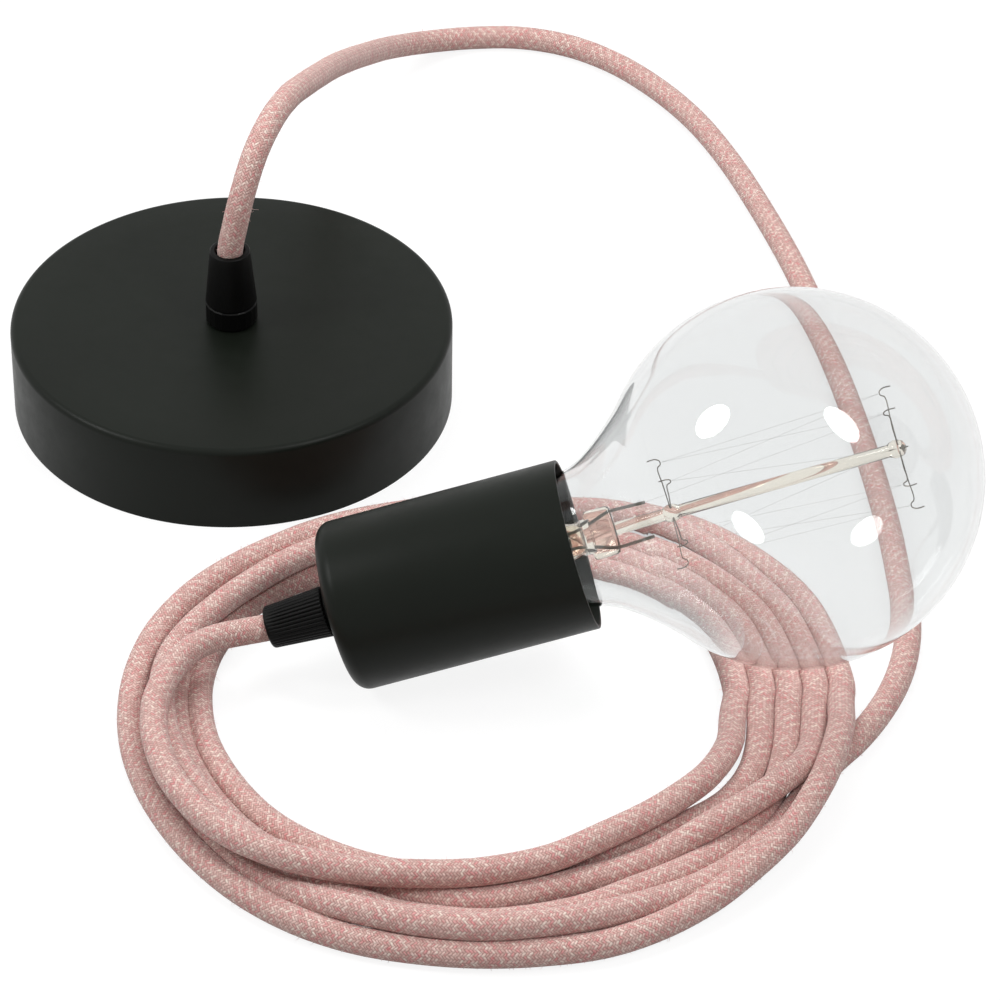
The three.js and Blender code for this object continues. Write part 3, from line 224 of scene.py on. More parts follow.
# From the last turn in a wide bend into the lampholder's grip and its shell.
TAIL_ROUTE = [
    (-77, -105.2, 14.2), (-76.7, -99.2, 14.8), (-74.8, -92.3, 15.4), (-71.9, -85.6, 15.8),
    (-68, -80, 15.4), (-62.8, -75.4, 14.5), (-57, -72.6, 13.9), (-50.7, -71.4, 14.6),
    (-44.6, -70.6, 16.2), (-38.6, -70.2, 18.1),
]


# Camera and stage


def make_camera():
    down = math.radians(CAMERA_DOWN_DEG)
    roll = math.radians(CAMERA_ROLL_DEG)
    forward = Vector((0, math.cos(down), -math.sin(down)))
    level_up = Vector((0, math.sin(down), math.cos(down)))
    level_right = Vector((1, 0, 0))
    right = level_right * math.cos(roll) + level_up * math.sin(roll)
    up = level_up * math.cos(roll) - level_right * math.sin(roll)
    camera = bpy.data.objects.new("camera", bpy.data.cameras.new("camera"))
    camera.data.lens = CAMERA_LENS
    camera.data.sensor_width = 36
    camera.data.clip_start = 0.01
    camera.data.clip_end = 20
    axes = Matrix((right, up, -forward)).transposed().to_4x4()
    camera.matrix_world = Matrix.Translation(Vector(CAMERA_PLACE) * MM) @ axes
    bpy.context.scene.collection.objects.link(camera)
    bpy.context.scene.camera = camera


def soft_box(name, direction, distance, width, height, power, mirrored):
    """An area lamp that looks at the middle of the set from a direction. It is hidden from the camera."""
    lamp = bpy.data.lights.new(name, "AREA")
    lamp.shape = "ELLIPSE"
    lamp.size = width
    lamp.size_y = height
    lamp.energy = power
    holder = bpy.data.objects.new(name, lamp)
    toward = Vector(direction).normalized()
    holder.location = Vector(LAMP_TARGET) + toward * distance
    holder.rotation_euler = (-toward).to_track_quat("-Z", "Y").to_euler()
    holder.visible_camera = False
    holder.visible_glossy = holder.visible_transmission = mirrored
    bpy.context.scene.collection.objects.link(holder)


# Node materials


class Nodes:
    """A node tree with short calls for the nodes that the finishes share."""

    def __init__(self, tree):
        self.tree = tree
        self.coordinates = None

    def add(self, kind, **settings):
        node = self.tree.nodes.new(kind)
        for key, value in settings.items():
            setattr(node, key, value)
        return node

    def join(self, value, socket):
        if isinstance(value, bpy.types.NodeSocket):
            self.tree.links.new(value, socket)
        else:
            socket.default_value = value

    def math(self, operation, *values, clamp=False):
        node = self.add("ShaderNodeMath", operation=operation, use_clamp=clamp)
        for value, socket in zip(values, node.inputs):
            self.join(value, socket)
        return node.outputs[0]

    def blend(self, share, first, second, mode="MIX"):
        node = self.add("ShaderNodeMix", data_type="RGBA", blend_type=mode)
        self.join(share, node.inputs[0])
        self.join(first, node.inputs[6])
        self.join(second, node.inputs[7])
        return node.outputs[2]

    def place(self):
        if self.coordinates is None:
            self.coordinates = self.add("ShaderNodeTexCoord").outputs["Object"]
        return self.coordinates

    def noise(self, scale, detail=3.0, roughness=0.5):
        node = self.add("ShaderNodeTexNoise")
        self.join(self.place(), node.inputs["Vector"])
        node.inputs["Scale"].default_value = scale
        node.inputs["Detail"].default_value = detail
        node.inputs["Roughness"].default_value = roughness
        return node.outputs["Fac"]

    def span(self, value, low, high, to_low, to_high):
        node = self.add("ShaderNodeMapRange")
        for item, socket in zip((value, low, high, to_low, to_high), node.inputs):
            self.join(item, socket)
        return node.outputs[0]

    def spread(self, noise, to_low, to_high):
        """The usual reach of a noise, spread between two values."""
        return self.span(noise, 0.3, 0.7, to_low, to_high)

    def bump(self, height, strength, distance):
        node = self.add("ShaderNodeBump")
        node.inputs["Strength"].default_value = strength
        node.inputs["Distance"].default_value = distance
        self.join(height, node.inputs["Height"])
        return node.outputs[0]


def linear(red, green, blue):
    """A colour given as 0 to 255 on a screen, as the renderer's numbers."""
    parts = []
    for value in (red, green, blue):
        share = value / 255
        parts.append(share / 12.92 if share <= 0.04045 else ((share + 0.055) / 1.055) ** 2.4)
    return (*parts, 1)


def shader(name, **inputs):
    """A new material with its node helper and its main shader node, with plain numbers set."""
    material = bpy.data.materials.new(name)
    material.use_nodes = True
    nodes = Nodes(material.node_tree)
    main = material.node_tree.nodes["Principled BSDF"]
    for key, value in inputs.items():
        main.inputs[key.replace("_", " ")].default_value = value
    return material, nodes, main


def satin_paint():
    """Black satin paint on steel, with its slight grain and a few soft rub marks."""
    material, nodes, main = shader("satin_black_paint", IOR=1.5, Specular_IOR_Level=0.12)
    cloud = nodes.noise(28, detail=4)
    tint = nodes.blend(cloud, linear(13, 16, 12), linear(19, 23, 18))
    nodes.join(tint, main.inputs["Base Color"])
    rough = nodes.spread(nodes.noise(160, detail=5, roughness=0.7), 0.36, 0.46)
    nodes.join(rough, main.inputs["Roughness"])
    nodes.join(nodes.bump(nodes.noise(2200, detail=2), 0.12, distance=0.00006), main.inputs["Normal"])
    return material


def moulded_plastic(name, dark, light, rough, gloss=0.5):
    """Moulded plastic: near one colour, with a fine spark-eroded grain."""
    material, nodes, main = shader(name, IOR=1.5, Specular_IOR_Level=gloss)
    nodes.join(nodes.blend(nodes.noise(90, detail=3), dark, light), main.inputs["Base Color"])
    grain = nodes.noise(3200, detail=2)
    nodes.join(nodes.spread(grain, rough - 0.05, rough + 0.07), main.inputs["Roughness"])
    nodes.join(nodes.bump(grain, 0.15, distance=0.00004), main.inputs["Normal"])
    return material


def worn_metal(name, dark, light, rough):
    """Plated or rolled metal with fine scratches and a dull bloom."""
    material, nodes, main = shader(name, Metallic=1.0)
    bloom = nodes.noise(120, detail=5, roughness=0.65)
    nodes.join(nodes.blend(bloom, dark, light), main.inputs["Base Color"])
    scratch = nodes.noise(700, detail=6, roughness=0.8)
    nodes.join(nodes.spread(scratch, rough - 0.08, rough + 0.12), main.inputs["Roughness"])
    nodes.join(nodes.bump(scratch, 0.08, distance=0.00005), main.inputs["Normal"])
    return material


def fired_clay():
    """White glazed porcelain, a little uneven in tone, with dull patches where the glaze is thin."""
    material, nodes, main = shader("porcelain", IOR=1.5)
    tint = nodes.blend(nodes.noise(60, detail=4), linear(226, 222, 212), linear(240, 237, 230))
    nodes.join(tint, main.inputs["Base Color"])
    nodes.join(nodes.span(nodes.noise(180, detail=3), 0.35, 0.65, 0.16, 0.42), main.inputs["Roughness"])
    nodes.join(nodes.bump(nodes.noise(260, detail=2), 0.1, distance=0.0001), main.inputs["Normal"])
    return material


def clear_glass(name, tint, wave):
    """Blown glass: clear, with the faint waves that blowing leaves."""
    material, nodes, main = shader(
        name, Transmission_Weight=1.0, IOR=1.47, Roughness=0.0, Base_Color=tint)
    nodes.join(nodes.bump(nodes.noise(38, detail=1), wave, distance=0.0004), main.inputs["Normal"])
    shadow_tone = (0.94, 0.94, 0.94, 1)
    clear = nodes.add("ShaderNodeBsdfTransparent")
    clear.inputs["Color"].default_value = shadow_tone
    either = nodes.add("ShaderNodeMixShader")
    nodes.join(nodes.add("ShaderNodeLightPath").outputs["Is Shadow Ray"], either.inputs[0])
    nodes.join(main.outputs[0], either.inputs[1])
    nodes.join(clear.outputs[0], either.inputs[2])
    nodes.join(either.outputs[0], material.node_tree.nodes["Material Output"].inputs["Surface"])
    return material


def braid():
    """Cotton braid: 24 yarns run each way round the cord, over two and under two.

    The map's u is a share of the way round, and its v counts the yarns' turns along the cord."""
    material, nodes, main = shader(
        "pink_textile_braid", IOR=1.4, Roughness=0.9, Specular_IOR_Level=0.25,
        Sheen_Weight=0.25, Sheen_Roughness=0.5)
    yarns = float(BRAID_CARRIERS)
    mapped = nodes.add("ShaderNodeUVMap", uv_map="braid").outputs[0]
    split = nodes.add("ShaderNodeSeparateXYZ")
    nodes.join(mapped, split.inputs[0])
    wobble = nodes.spread(nodes.noise(420, detail=2), -YARN_WOBBLE, YARN_WOBBLE)
    around = nodes.math("MULTIPLY", split.outputs[0], yarns)
    along = nodes.math("MULTIPLY_ADD", split.outputs[1], yarns, wobble)
    right = nodes.math("ADD", along, around)
    left = nodes.math("SUBTRACT", along, around)
    right_yarn = nodes.math("FLOOR", right)
    left_yarn = nodes.math("FLOOR", left)
    right_part = nodes.math("FRACT", right)
    left_part = nodes.math("FRACT", left)
    column = nodes.math("FLOORED_MODULO", nodes.math("SUBTRACT", right_yarn, left_yarn), 4.0)
    on_top = nodes.math("LESS_THAN", column, 1.5)

    def pick(when_right, when_left):
        difference = nodes.math("SUBTRACT", when_right, when_left)
        return nodes.math("MULTIPLY_ADD", difference, on_top, when_left)

    across = pick(right_part, left_part)
    float_right = nodes.math("ADD", left_part, nodes.math("SUBTRACT", 1.0, column))
    float_left = nodes.math("ADD", right_part, nodes.math("SUBTRACT", column, 2.0))
    length = nodes.math("MULTIPLY", pick(float_right, float_left), 0.5)
    crown = nodes.math("POWER", nodes.math("SINE", nodes.math("MULTIPLY", across, math.pi)), 0.6)
    swell = nodes.math("SINE", nodes.math("MULTIPLY", length, math.pi))
    height = nodes.math("MULTIPLY", crown, nodes.math("MULTIPLY_ADD", swell, 0.55, 0.45))

    left_yarns_from = 40.0
    right_number = nodes.math("FLOORED_MODULO", right_yarn, yarns)
    left_number = nodes.math("ADD", nodes.math("FLOORED_MODULO", left_yarn, yarns), left_yarns_from)
    lot = nodes.add("ShaderNodeTexWhiteNoise", noise_dimensions="1D")
    nodes.join(pick(right_number, left_number), lot.inputs["W"])
    own_tone = nodes.math("MULTIPLY", lot.outputs[0], 0.40)
    cloud = nodes.noise(900, detail=4, roughness=0.75)
    twist = nodes.math("MULTIPLY_ADD", cloud, 0.95, own_tone)
    ramp = nodes.add("ShaderNodeValToRGB")
    nodes.join(twist, ramp.inputs[0])
    stops = ramp.color_ramp.elements
    for stop, (position, tone) in ((stops[0], BRAID_TONES[0]), (stops[1], BRAID_TONES[-1])):
        stop.position, stop.color = position, linear(*tone)
    for position, tone in BRAID_TONES[1:-1]:
        stops.new(position).color = linear(*tone)
    # Painted shade: a yarn's colour darkens toward the groove colour where it dips between its neighbours
    shade = nodes.span(height, 0.0, 0.85, 0.36, 1.0)
    groove_shaded_colour = nodes.blend(shade, linear(*BRAID_GROOVE_PAINTED_SHADE), ramp.outputs[0])
    nodes.join(groove_shaded_colour, main.inputs["Base Color"])
    fibre = nodes.math("MULTIPLY_ADD", nodes.noise(3000, detail=2), 0.25, height)
    nodes.join(nodes.bump(fibre, 0.7, distance=0.00022), main.inputs["Normal"])
    return material


def loose_fibre():
    """The pale cotton of the fibres that stand out of the braid."""
    material, nodes, main = shader(
        "loose_cotton_fibre", Roughness=0.9, Specular_IOR_Level=0.1, Sheen_Weight=0.3)
    tint = nodes.blend(nodes.noise(900, detail=2), linear(224, 172, 168), linear(240, 220, 214))
    nodes.join(tint, main.inputs["Base Color"])
    return material


def dress(piece, material):
    piece.data.materials.clear()
    piece.data.materials.append(material)


# Meshes


def close_seams(mesh):
    """Points that lie on each other, as on a turned profile's axis, become one."""
    edit = bmesh.new()
    edit.from_mesh(mesh)
    bmesh.ops.remove_doubles(edit, verts=edit.verts, dist=1e-7)
    edit.to_mesh(mesh)
    edit.free()


def mesh_piece(name, points, faces, material, place=None, smooth_deg=35, uvs=None):
    """A named mesh that rides on the root, with points in millimetres and in the frame of its place."""
    mesh = bpy.data.meshes.new(name)
    place = place or Matrix.Identity(4)
    mesh.from_pydata([place @ (Vector(point) * MM) for point in points], [], faces)
    if not uvs:
        close_seams(mesh)
    mesh.polygons.foreach_set("use_smooth", [True] * len(mesh.polygons))
    mesh.set_sharp_from_angle(angle=math.radians(smooth_deg))
    if uvs:
        layer = mesh.uv_layers.new(name="braid")
        layer.uv.foreach_set("vector", [part for pair in uvs for part in pair])
    mesh.update()
    piece = bpy.data.objects.new(name, mesh)
    bpy.context.scene.collection.objects.link(piece)
    piece.data.materials.append(material)
    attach(piece, "root")
    return piece


def ring_faces(rings, sides, closed):
    """Quads between rings of points, and from the last ring back to the first where the profile closes."""
    faces = []
    for ring in range(rings if closed else rings - 1):
        following = (ring + 1) % rings
        for side in range(sides):
            after = (side + 1) % sides
            faces.append((ring * sides + side, ring * sides + after,
                          following * sides + after, following * sides + side))
    return faces


def turned(profile, sides, radius_at=None):
    """A closed profile of (radius, height), turned round z. radius_at may change a radius by its turn."""
    points = []
    for radius, height in profile:
        for side in range(sides):
            turn = 2 * math.pi * side / sides
            reach = radius_at(radius, height, turn) if radius_at else radius
            points.append((reach * math.cos(turn), reach * math.sin(turn), height))
    return points, ring_faces(len(profile), sides, True)


def arc(centre_radius, centre_height, radius, start_deg, end_deg, steps):
    points = []
    for step in range(steps + 1):
        turn = math.radians(start_deg + (end_deg - start_deg) * step / steps)
        points.append((centre_radius + radius * math.cos(turn), centre_height + radius * math.sin(turn)))
    return points


# Routes, tubes and the cord


def curve_through(points, step):
    """A smooth curve through points, cut into even steps."""
    ends = [points[0] * 2 - points[1]] + points + [points[-1] * 2 - points[-2]]
    dense, cuts = [], 12
    for before, start, end, after in zip(ends, ends[1:], ends[2:], ends[3:]):
        times = [0.0]
        for near, far in ((before, start), (start, end), (end, after)):
            times.append(times[-1] + math.sqrt((far - near).length))
        for part in range(cuts):
            moment = times[1] + (times[2] - times[1]) * part / cuts

            def between(low, high, first, second):
                return first.lerp(second, (moment - times[low]) / (times[high] - times[low]))

            one = between(0, 1, before, start)
            two = between(1, 2, start, end)
            three = between(2, 3, end, after)
            dense.append(between(1, 2, between(0, 2, one, two), between(1, 3, two, three)))
    dense.append(points[-1])
    return even_steps(dense, step)


def even_steps(points, step):
    """Points at near the wished step along a line of points."""
    lengths = [0.0]
    for start, end in zip(points, points[1:]):
        lengths.append(lengths[-1] + (end - start).length)
    count = round(lengths[-1] / step)
    even = []
    spot = 0
    for number in range(count + 1):
        wanted = lengths[-1] * number / count
        while spot < len(points) - 2 and lengths[spot + 1] < wanted:
            spot += 1
        share = (wanted - lengths[spot]) / (lengths[spot + 1] - lengths[spot])
        even.append(points[spot].lerp(points[spot + 1], share))
    return even


def shape_offset(degrees):
    """How far the coil stands out at this heading, eased between the chosen headings."""
    heading = degrees % 360
    for (low, first), (high, second) in zip(COIL_SHAPE, COIL_SHAPE[1:]):
        if low <= heading <= high:
            share = (heading - low) / (high - low)
            eased = share * share * (3 - 2 * share)
            return first + (second - first) * eased
    return 0.0


def coil_route():
    """The coil's turns as one list of points, from the chosen distances and heights of each turn."""
    keys = []
    for number, turn in enumerate(COIL_TURNS):
        keys += [(degrees + 360 * number, radius, height) for degrees, radius, height in turn]
    points = []
    for degrees, radius, height in keys:
        reach = radius + shape_offset(degrees)
        heading = -math.radians(degrees)
        points.append(Vector((COIL_CENTRE[0] + reach * math.cos(heading),
                              COIL_CENTRE[1] + reach * math.sin(heading), height)))
    return points


def tube_rings(path, radius, sides):
    """Rings of points round a path, turned as little as possible from one to the next."""
    points = []
    side_way = Vector((1, 0, 0))
    for number, centre in enumerate(path):
        ahead = path[min(number + 1, len(path) - 1)] - path[max(number - 1, 0)]
        ahead.normalize()
        side_way = (side_way - ahead * side_way.dot(ahead)).normalized()
        other_way = ahead.cross(side_way)
        for side in range(sides):
            turn = 2 * math.pi * side / sides
            points.append(centre + (side_way * math.cos(turn) + other_way * math.sin(turn)) * radius)
    return points


def tube(name, path, diameter, sides, material, place=None):
    """A closed round wire along a path."""
    points = tube_rings(path, diameter / 2, sides)
    faces = ring_faces(len(path), sides, False)
    last = (len(path) - 1) * sides
    faces.append(tuple(reversed(range(sides))))
    faces.append(tuple(last + side for side in range(sides)))
    return mesh_piece(name, points, faces, material, place)


def make_cord(material):
    """The whole cord from the rose's grip to the lampholder's, as one braided tube."""
    route = [Vector(place) for place in ARCH_ROUTE] + coil_route() + [Vector(place) for place in TAIL_ROUTE]
    path = curve_through(route, RING_STEP)
    points = tube_rings(path, CORD_RADIUS, CORD_SIDES)
    faces = ring_faces(len(path), CORD_SIDES, False)
    uvs = []
    for face in range(len(faces)):
        ring, side = divmod(face, CORD_SIDES)
        for ring_step, side_step in ((0, 0), (0, 1), (1, 1), (1, 0)):
            uvs.append(((side + side_step) / CORD_SIDES, (ring + ring_step) * RING_STEP / BRAID_PITCH))
    last = (len(path) - 1) * CORD_SIDES
    for end in (tuple(reversed(range(CORD_SIDES))), tuple(last + side for side in range(CORD_SIDES))):
        faces.append(end)
        uvs += [(0.5, 0.5)] * CORD_SIDES
    cord = mesh_piece("braided_cord", points, faces, material, smooth_deg=60, uvs=uvs)
    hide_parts("cord_arch", "cord_coil", "cord_tail")
    return path


def make_fibres(path, material):
    """Short loose fibres that stand out of the braid all along the cord, each a thin bent wisp."""
    corners, sunk = 3, 0.05
    points, faces = [], []
    for _ in range(FIBRES):
        spot = random.randrange(2, len(path) - 8)
        centre = path[spot].lerp(path[spot + 1], random.random())
        ahead = (path[spot + 1] - path[spot]).normalized()
        aside = ahead.orthogonal().normalized()
        outward = Matrix.Rotation(random.uniform(0, 2 * math.pi), 3, ahead) @ aside
        lean = Matrix.Rotation(random.uniform(-FIBRE_LEAN, FIBRE_LEAN), 3, outward) @ ahead.cross(outward)
        reach = FIBRE_SHORTEST + FIBRE_SPREAD * random.random() ** 3
        root = centre + outward * (CORD_RADIUS - sunk)
        middle = root + outward * reach * 0.5 + lean * reach * 0.5
        tip = root + outward * reach * random.uniform(0.3, 0.8) + lean * reach * random.uniform(0.8, 1.8)
        if min(middle.z, tip.z) < FIBRE_THICKNESS:
            continue
        first = len(points)
        for place, share in ((root, 1), (middle, 0.9), (tip, 0.5)):
            for side in range(corners):
                turn = 2 * math.pi * side / corners
                across = outward.cross(lean) * math.sin(turn) * 0.6
                way = ahead * math.cos(turn) + across + lean * math.sin(turn) * 0.4
                points.append(place + way * FIBRE_THICKNESS * share / 2)
        faces += [tuple(first + index for index in face) for face in ring_faces(3, corners, False)]
        faces += [(first + 2, first + 1, first), (first + 6, first + 7, first + 8)]
    fibres = mesh_piece("braid_fibres", points, faces, material)


# White floor and surroundings


def make_stage():
    """A white floor that keeps the shadows, a little under the set."""
    size = FLOOR_REACH
    low = -0.05 * MM
    mesh = bpy.data.meshes.new("floor")
    corners = [(-size, -size, low), (size, -size, low), (size, size, low), (-size, size, low)]
    mesh.from_pydata(corners, [], [(0, 1, 2, 3)])
    floor = bpy.data.objects.new("floor", mesh)
    bpy.context.scene.collection.objects.link(floor)
    mesh.materials.append(floor_finish())


def by_ray(nodes, seen, as_light):
    """One value for what the eye, gloss and glass show, and another for lighting the set."""
    path = nodes.add("ShaderNodeLightPath")
    share = nodes.math("ADD", path.outputs["Is Camera Ray"], path.outputs["Is Glossy Ray"])
    share = nodes.math("ADD", share, path.outputs["Is Transmission Ray"], clamp=True)
    return nodes.math("MULTIPLY_ADD", share, seen - as_light, as_light)


def floor_finish():
    """Matt grey for the shadows, with a white glow over it that lights nothing."""
    material = bpy.data.materials.new("white_table")
    material.use_nodes = True
    nodes = Nodes(material.node_tree)
    material.node_tree.nodes.remove(material.node_tree.nodes["Principled BSDF"])
    matt = nodes.add("ShaderNodeBsdfDiffuse")
    tone = nodes.add("ShaderNodeCombineColor")
    share = by_ray(nodes, FLOOR_SHADOW, FLOOR_BOUNCE)
    for socket in tone.inputs:
        nodes.join(share, socket)
    nodes.join(tone.outputs[0], matt.inputs[0])
    glow = nodes.add("ShaderNodeEmission")
    nodes.join(by_ray(nodes, FLOOR_GLOW, 0.0), glow.inputs["Strength"])
    both = nodes.add("ShaderNodeAddShader")
    nodes.join(matt.outputs[0], both.inputs[0])
    nodes.join(glow.outputs[0], both.inputs[1])
    nodes.join(both.outputs[0], material.node_tree.nodes["Material Output"].inputs["Surface"])
    return material


def make_world():
    """White all round for the eye, gloss and glass, and a lower even light on the set."""
    world = bpy.data.worlds.new("white_room")
    bpy.context.scene.world = world
    world.use_nodes = True
    nodes = Nodes(world.node_tree)
    background = world.node_tree.nodes["Background"]
    background.inputs["Color"].default_value = (1, 1, 1, 1)
    nodes.join(by_ray(nodes, 1.0, ROOM_LIGHT), background.inputs["Strength"])


# Turned and moulded pieces, in the frames of the parts that carry them


def rose_frame(height=0.0):
    x, y, z = ROSE_PLACE
    return Matrix.Translation(Vector((x, y, z + height)) * MM)


def shell_frame():
    x, y = SHELL_PLACE
    tilt = math.radians(SHELL_TILT_DEG)
    rest = SHELL_EDGE + (SHELL_RADIUS - SHELL_EDGE) * math.cos(tilt) - SHELL_EDGE * math.sin(tilt)
    heading = Matrix.Rotation(math.radians(SHELL_HEADING_DEG), 4, "Z")
    place = Matrix.Translation(Vector((x, y, rest)) * MM)
    return place @ heading @ Matrix.Rotation(math.pi / 2 - tilt, 4, "Y")


def works_frame():
    return shell_frame() @ Matrix.Rotation(-math.radians(WORKS_LEAN_DEG), 4, "Y")


def bulb_frame(turned_too=False):
    place = works_frame() @ Matrix.Translation((0, 0, BULB_TIP_REST * MM))
    return place @ Matrix.Rotation(math.radians(BULB_TURN_DEG), 4, "Z") if turned_too else place


def make_canopy(material):
    """The rose's drawn cup, open below, with its rounded edge and the hole for the grip."""
    outer, wall, edge = 60.0, 0.8, 1.8
    profile = [(outer - wall, 0), (outer, 0)]
    profile += [(outer, ROSE_HEIGHT - edge - 8)]
    profile += arc(outer - edge, ROSE_HEIGHT - edge, edge, 0, 90, 8)
    profile += [(outer - 12, ROSE_HEIGHT), (THREAD_HOLE, ROSE_HEIGHT), (THREAD_HOLE, ROSE_HEIGHT - wall)]
    profile += arc(outer - edge, ROSE_HEIGHT - edge, edge - wall, 90, 0, 5)
    points, faces = turned(profile, CANOPY_SIDES)
    canopy = mesh_piece("satin_canopy", points, faces, material, rose_frame())
    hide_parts("canopy")


def make_shell(material):
    """The lampholder's drawn cup, with its rounded end and the rounded rim round the bulb."""
    outer, wall, edge = SHELL_RADIUS, 0.9, SHELL_EDGE
    hole, rim = THREAD_HOLE + 0.15, 0.3
    profile = [(hole, 0)]
    profile += arc(outer - edge, edge, edge, 270, 360, 14)
    profile += arc(outer - rim, SHELL_LENGTH - rim, rim, 0, 90, 3)
    profile += arc(outer - wall + rim, SHELL_LENGTH - rim, rim, 90, 180, 3)
    profile += arc(outer - edge, edge, edge - wall, 360, 270, 8)
    profile += [(hole, wall)]
    points, faces = turned(profile, SHELL_SIDES)
    shell = mesh_piece("satin_shell", points, faces, material, shell_frame())
    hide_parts("lampholder_shell")


def grip_cap(name, node, grip, place, material):
    """A grip's cap: a cone with a rounded rim, its bore, and ribs where the grip has them."""
    bottom = 2 * PLAY + grip["flange_height"]
    top = bottom + grip["height"]
    collet = PLAY + grip["flange_height"] + COLLET_LENGTH
    foot, head, rim = grip["bottom"] / 2, grip["top"] / 2, grip["rim"]
    bore_play, rows, rib_sides, plain_sides = 0.35, 8, 10, 96
    bore = CORD_RADIUS + bore_play
    side = [(foot + (head - foot) * row / rows, bottom + (top - rim - bottom) * row / rows)
            for row in range(rows + 1)]
    profile = [(THREAD_RADIUS + PLAY, bottom), (foot - 0.25, bottom), (foot, bottom + 0.25)] + side[1:]
    profile += arc(head - rim, top - rim, rim, 20, 90, 5)
    profile += [(bore + 0.4, top), (bore, top - 1), (bore, collet + 1), (COLLET_TIP + PLAY, collet + PLAY)]

    def ribbed(radius, height, turn):
        if radius < head - rim or height < bottom + 0.2:
            return radius
        fade = min(1.0, max(0.0, (top - rim * 0.6 - height) / 1.2))
        wave = abs(math.sin(grip["ribs"] * turn / 2))
        return radius - RIB_DEPTH * fade * (1 - wave) ** 1.5

    sides = grip["ribs"] * rib_sides if grip["ribs"] else plain_sides
    points, faces = turned(profile, sides, ribbed if grip["ribs"] else None)
    cap = mesh_piece(name, points, faces, material, place)
    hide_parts(node)


def tail_thread(name, length, place, material):
    """The fine thread on a grip's tail, as a ridge wound on the plain tail of its base."""
    pitch, steps, ridge, run_out = 1.0, 28, 0.42, 0.8
    path = []
    for step in range(int((length - 1) / pitch * steps)):
        turn = 2 * math.pi * step / steps
        path.append(Vector((THREAD_RADIUS * math.cos(turn), THREAD_RADIUS * math.sin(turn),
                            -length + run_out + pitch * step / steps)))
    thread = tube(name, path, ridge, 4, material, place)


def knuckle(crest, low, high, offset=0.0):
    """The rounded thread of the bulb's cap: how a radius at the crest goes in by its height and turn."""
    near, fade_in, fade_out = 0.6, 2.2, 1.6

    def at(radius, height, turn):
        if abs(radius - crest) > near or not low < height < high:
            return radius
        ends = min(1.0, (height - low) / fade_in, (high - height) / fade_out)
        fade = ends * ends * (3 - 2 * ends)
        phase = 2 * math.pi * (height - offset) / CAP_THREAD_PITCH - turn
        return radius - fade * CAP_THREAD_DEPTH * (1 - math.cos(phase)) / 2

    return at


def rows_between(radius, low, high, step=0.35):
    """A straight part of a profile, cut into rows for the thread."""
    count = max(2, round(abs(high - low) / step))
    return [(radius, low + (high - low) * row / count) for row in range(count + 1)]


def make_bulb_cap(material):
    """The bulb's cap with its rolled thread, its waist and the collar that holds the glass."""
    crest, sheet = CAP_THREAD_RADIUS, 0.4
    foot, waist, collar, hole = crest - 0.9, 12.3, 13.3, 10.2
    bottom, thread_end, length = 5.6, 20.2, 27.0
    profile = [(hole, bottom), (foot, bottom)]
    profile += rows_between(crest, bottom + 0.9, thread_end)
    profile += [(waist + 0.15, thread_end + 0.9), (waist, thread_end + 1.3),
                (waist + 0.1, thread_end + 1.7)]
    profile += [(collar, thread_end + 2.6), (collar, length), (collar - sheet, length)]
    profile += [(collar - sheet, thread_end + 2.8), (waist - sheet, thread_end + 1.8),
                (waist - sheet, thread_end + 0.8)]
    profile += rows_between(crest - sheet, thread_end - 0.2, bottom + 1.1)
    profile += [(foot - 0.2, bottom + sheet), (hole, bottom + sheet)]
    points, faces = turned(profile, CAP_THREAD_SIDES, knuckle(crest, bottom + 0.9, thread_end))
    cap = mesh_piece("threaded_cap", points, faces, material, bulb_frame())
    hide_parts("bulb_cap")


def make_screw_shell(material):
    """The brass screw shell, with the same thread as the cap that turns in it."""
    flange_bottom, sheet, flare, length = 23.45, 0.5, 0.8, 22.5
    hole, flange = 9.2, 15.275
    flange_top, top = flange_bottom + sheet, flange_bottom + length
    inner = CAP_THREAD_RADIUS + 0.4
    outer = inner + sheet
    profile = [(hole, flange_bottom), (flange, flange_bottom), (flange, flange_top)]
    profile += rows_between(outer, flange_top, top - flare)
    profile += [(outer + flare, top), (inner + flare, top)]
    profile += rows_between(inner, top - flare, flange_top)
    profile += [(hole, flange_top)]
    at = knuckle(inner + sheet / 2, flange_top + 1, top - flare, BULB_TIP_REST)
    points, faces = turned(profile, CAP_THREAD_SIDES, at)
    shell = mesh_piece("threaded_screw_shell", points, faces, material, works_frame())
    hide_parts("screw_shell")


def bezier(first, second, third, fourth, steps):
    points = []
    for step in range(steps + 1):
        share = step / steps
        rest = 1 - share
        weights = (rest ** 3, 3 * rest * rest * share, 3 * rest * share * share, share ** 3)
        parts = [corner * weight for corner, weight in zip((first, second, third, fourth), weights)]
        points.append(sum(parts, Vector((0, 0))))
    return points


def glass_outline():
    """The glass from its neck in the cap to the top of the globe, as (radius, height) vectors."""
    start = Vector((NECK_RADIUS, NECK_START))
    seal = Vector((NECK_RADIUS, NECK_SEAL))
    middle = Vector(NECK_MIDDLE)
    blend = math.radians(GLOBE_START_DEG)
    on_globe = Vector((GLOBE_RADIUS * math.sin(blend), GLOBE_MIDDLE - GLOBE_RADIUS * math.cos(blend)))
    along_neck = (middle - seal).normalized() * NECK_BLEND
    along_globe = Vector((math.cos(blend), math.sin(blend))) * NECK_BLEND
    points = [start] + bezier(seal, seal + Vector((0.9, 0.5)) * NECK_BLEND, middle - along_neck, middle, 10)
    points += bezier(middle, middle + along_neck, on_globe - along_globe, on_globe, 12)[1:]
    steps = 60
    for step in range(1, steps + 1):
        turn = blend + (math.pi - blend) * step / steps
        across = 0.0 if step == steps else GLOBE_RADIUS * math.sin(turn)
        points.append(Vector((across, GLOBE_MIDDLE - GLOBE_RADIUS * math.cos(turn))))
    return points


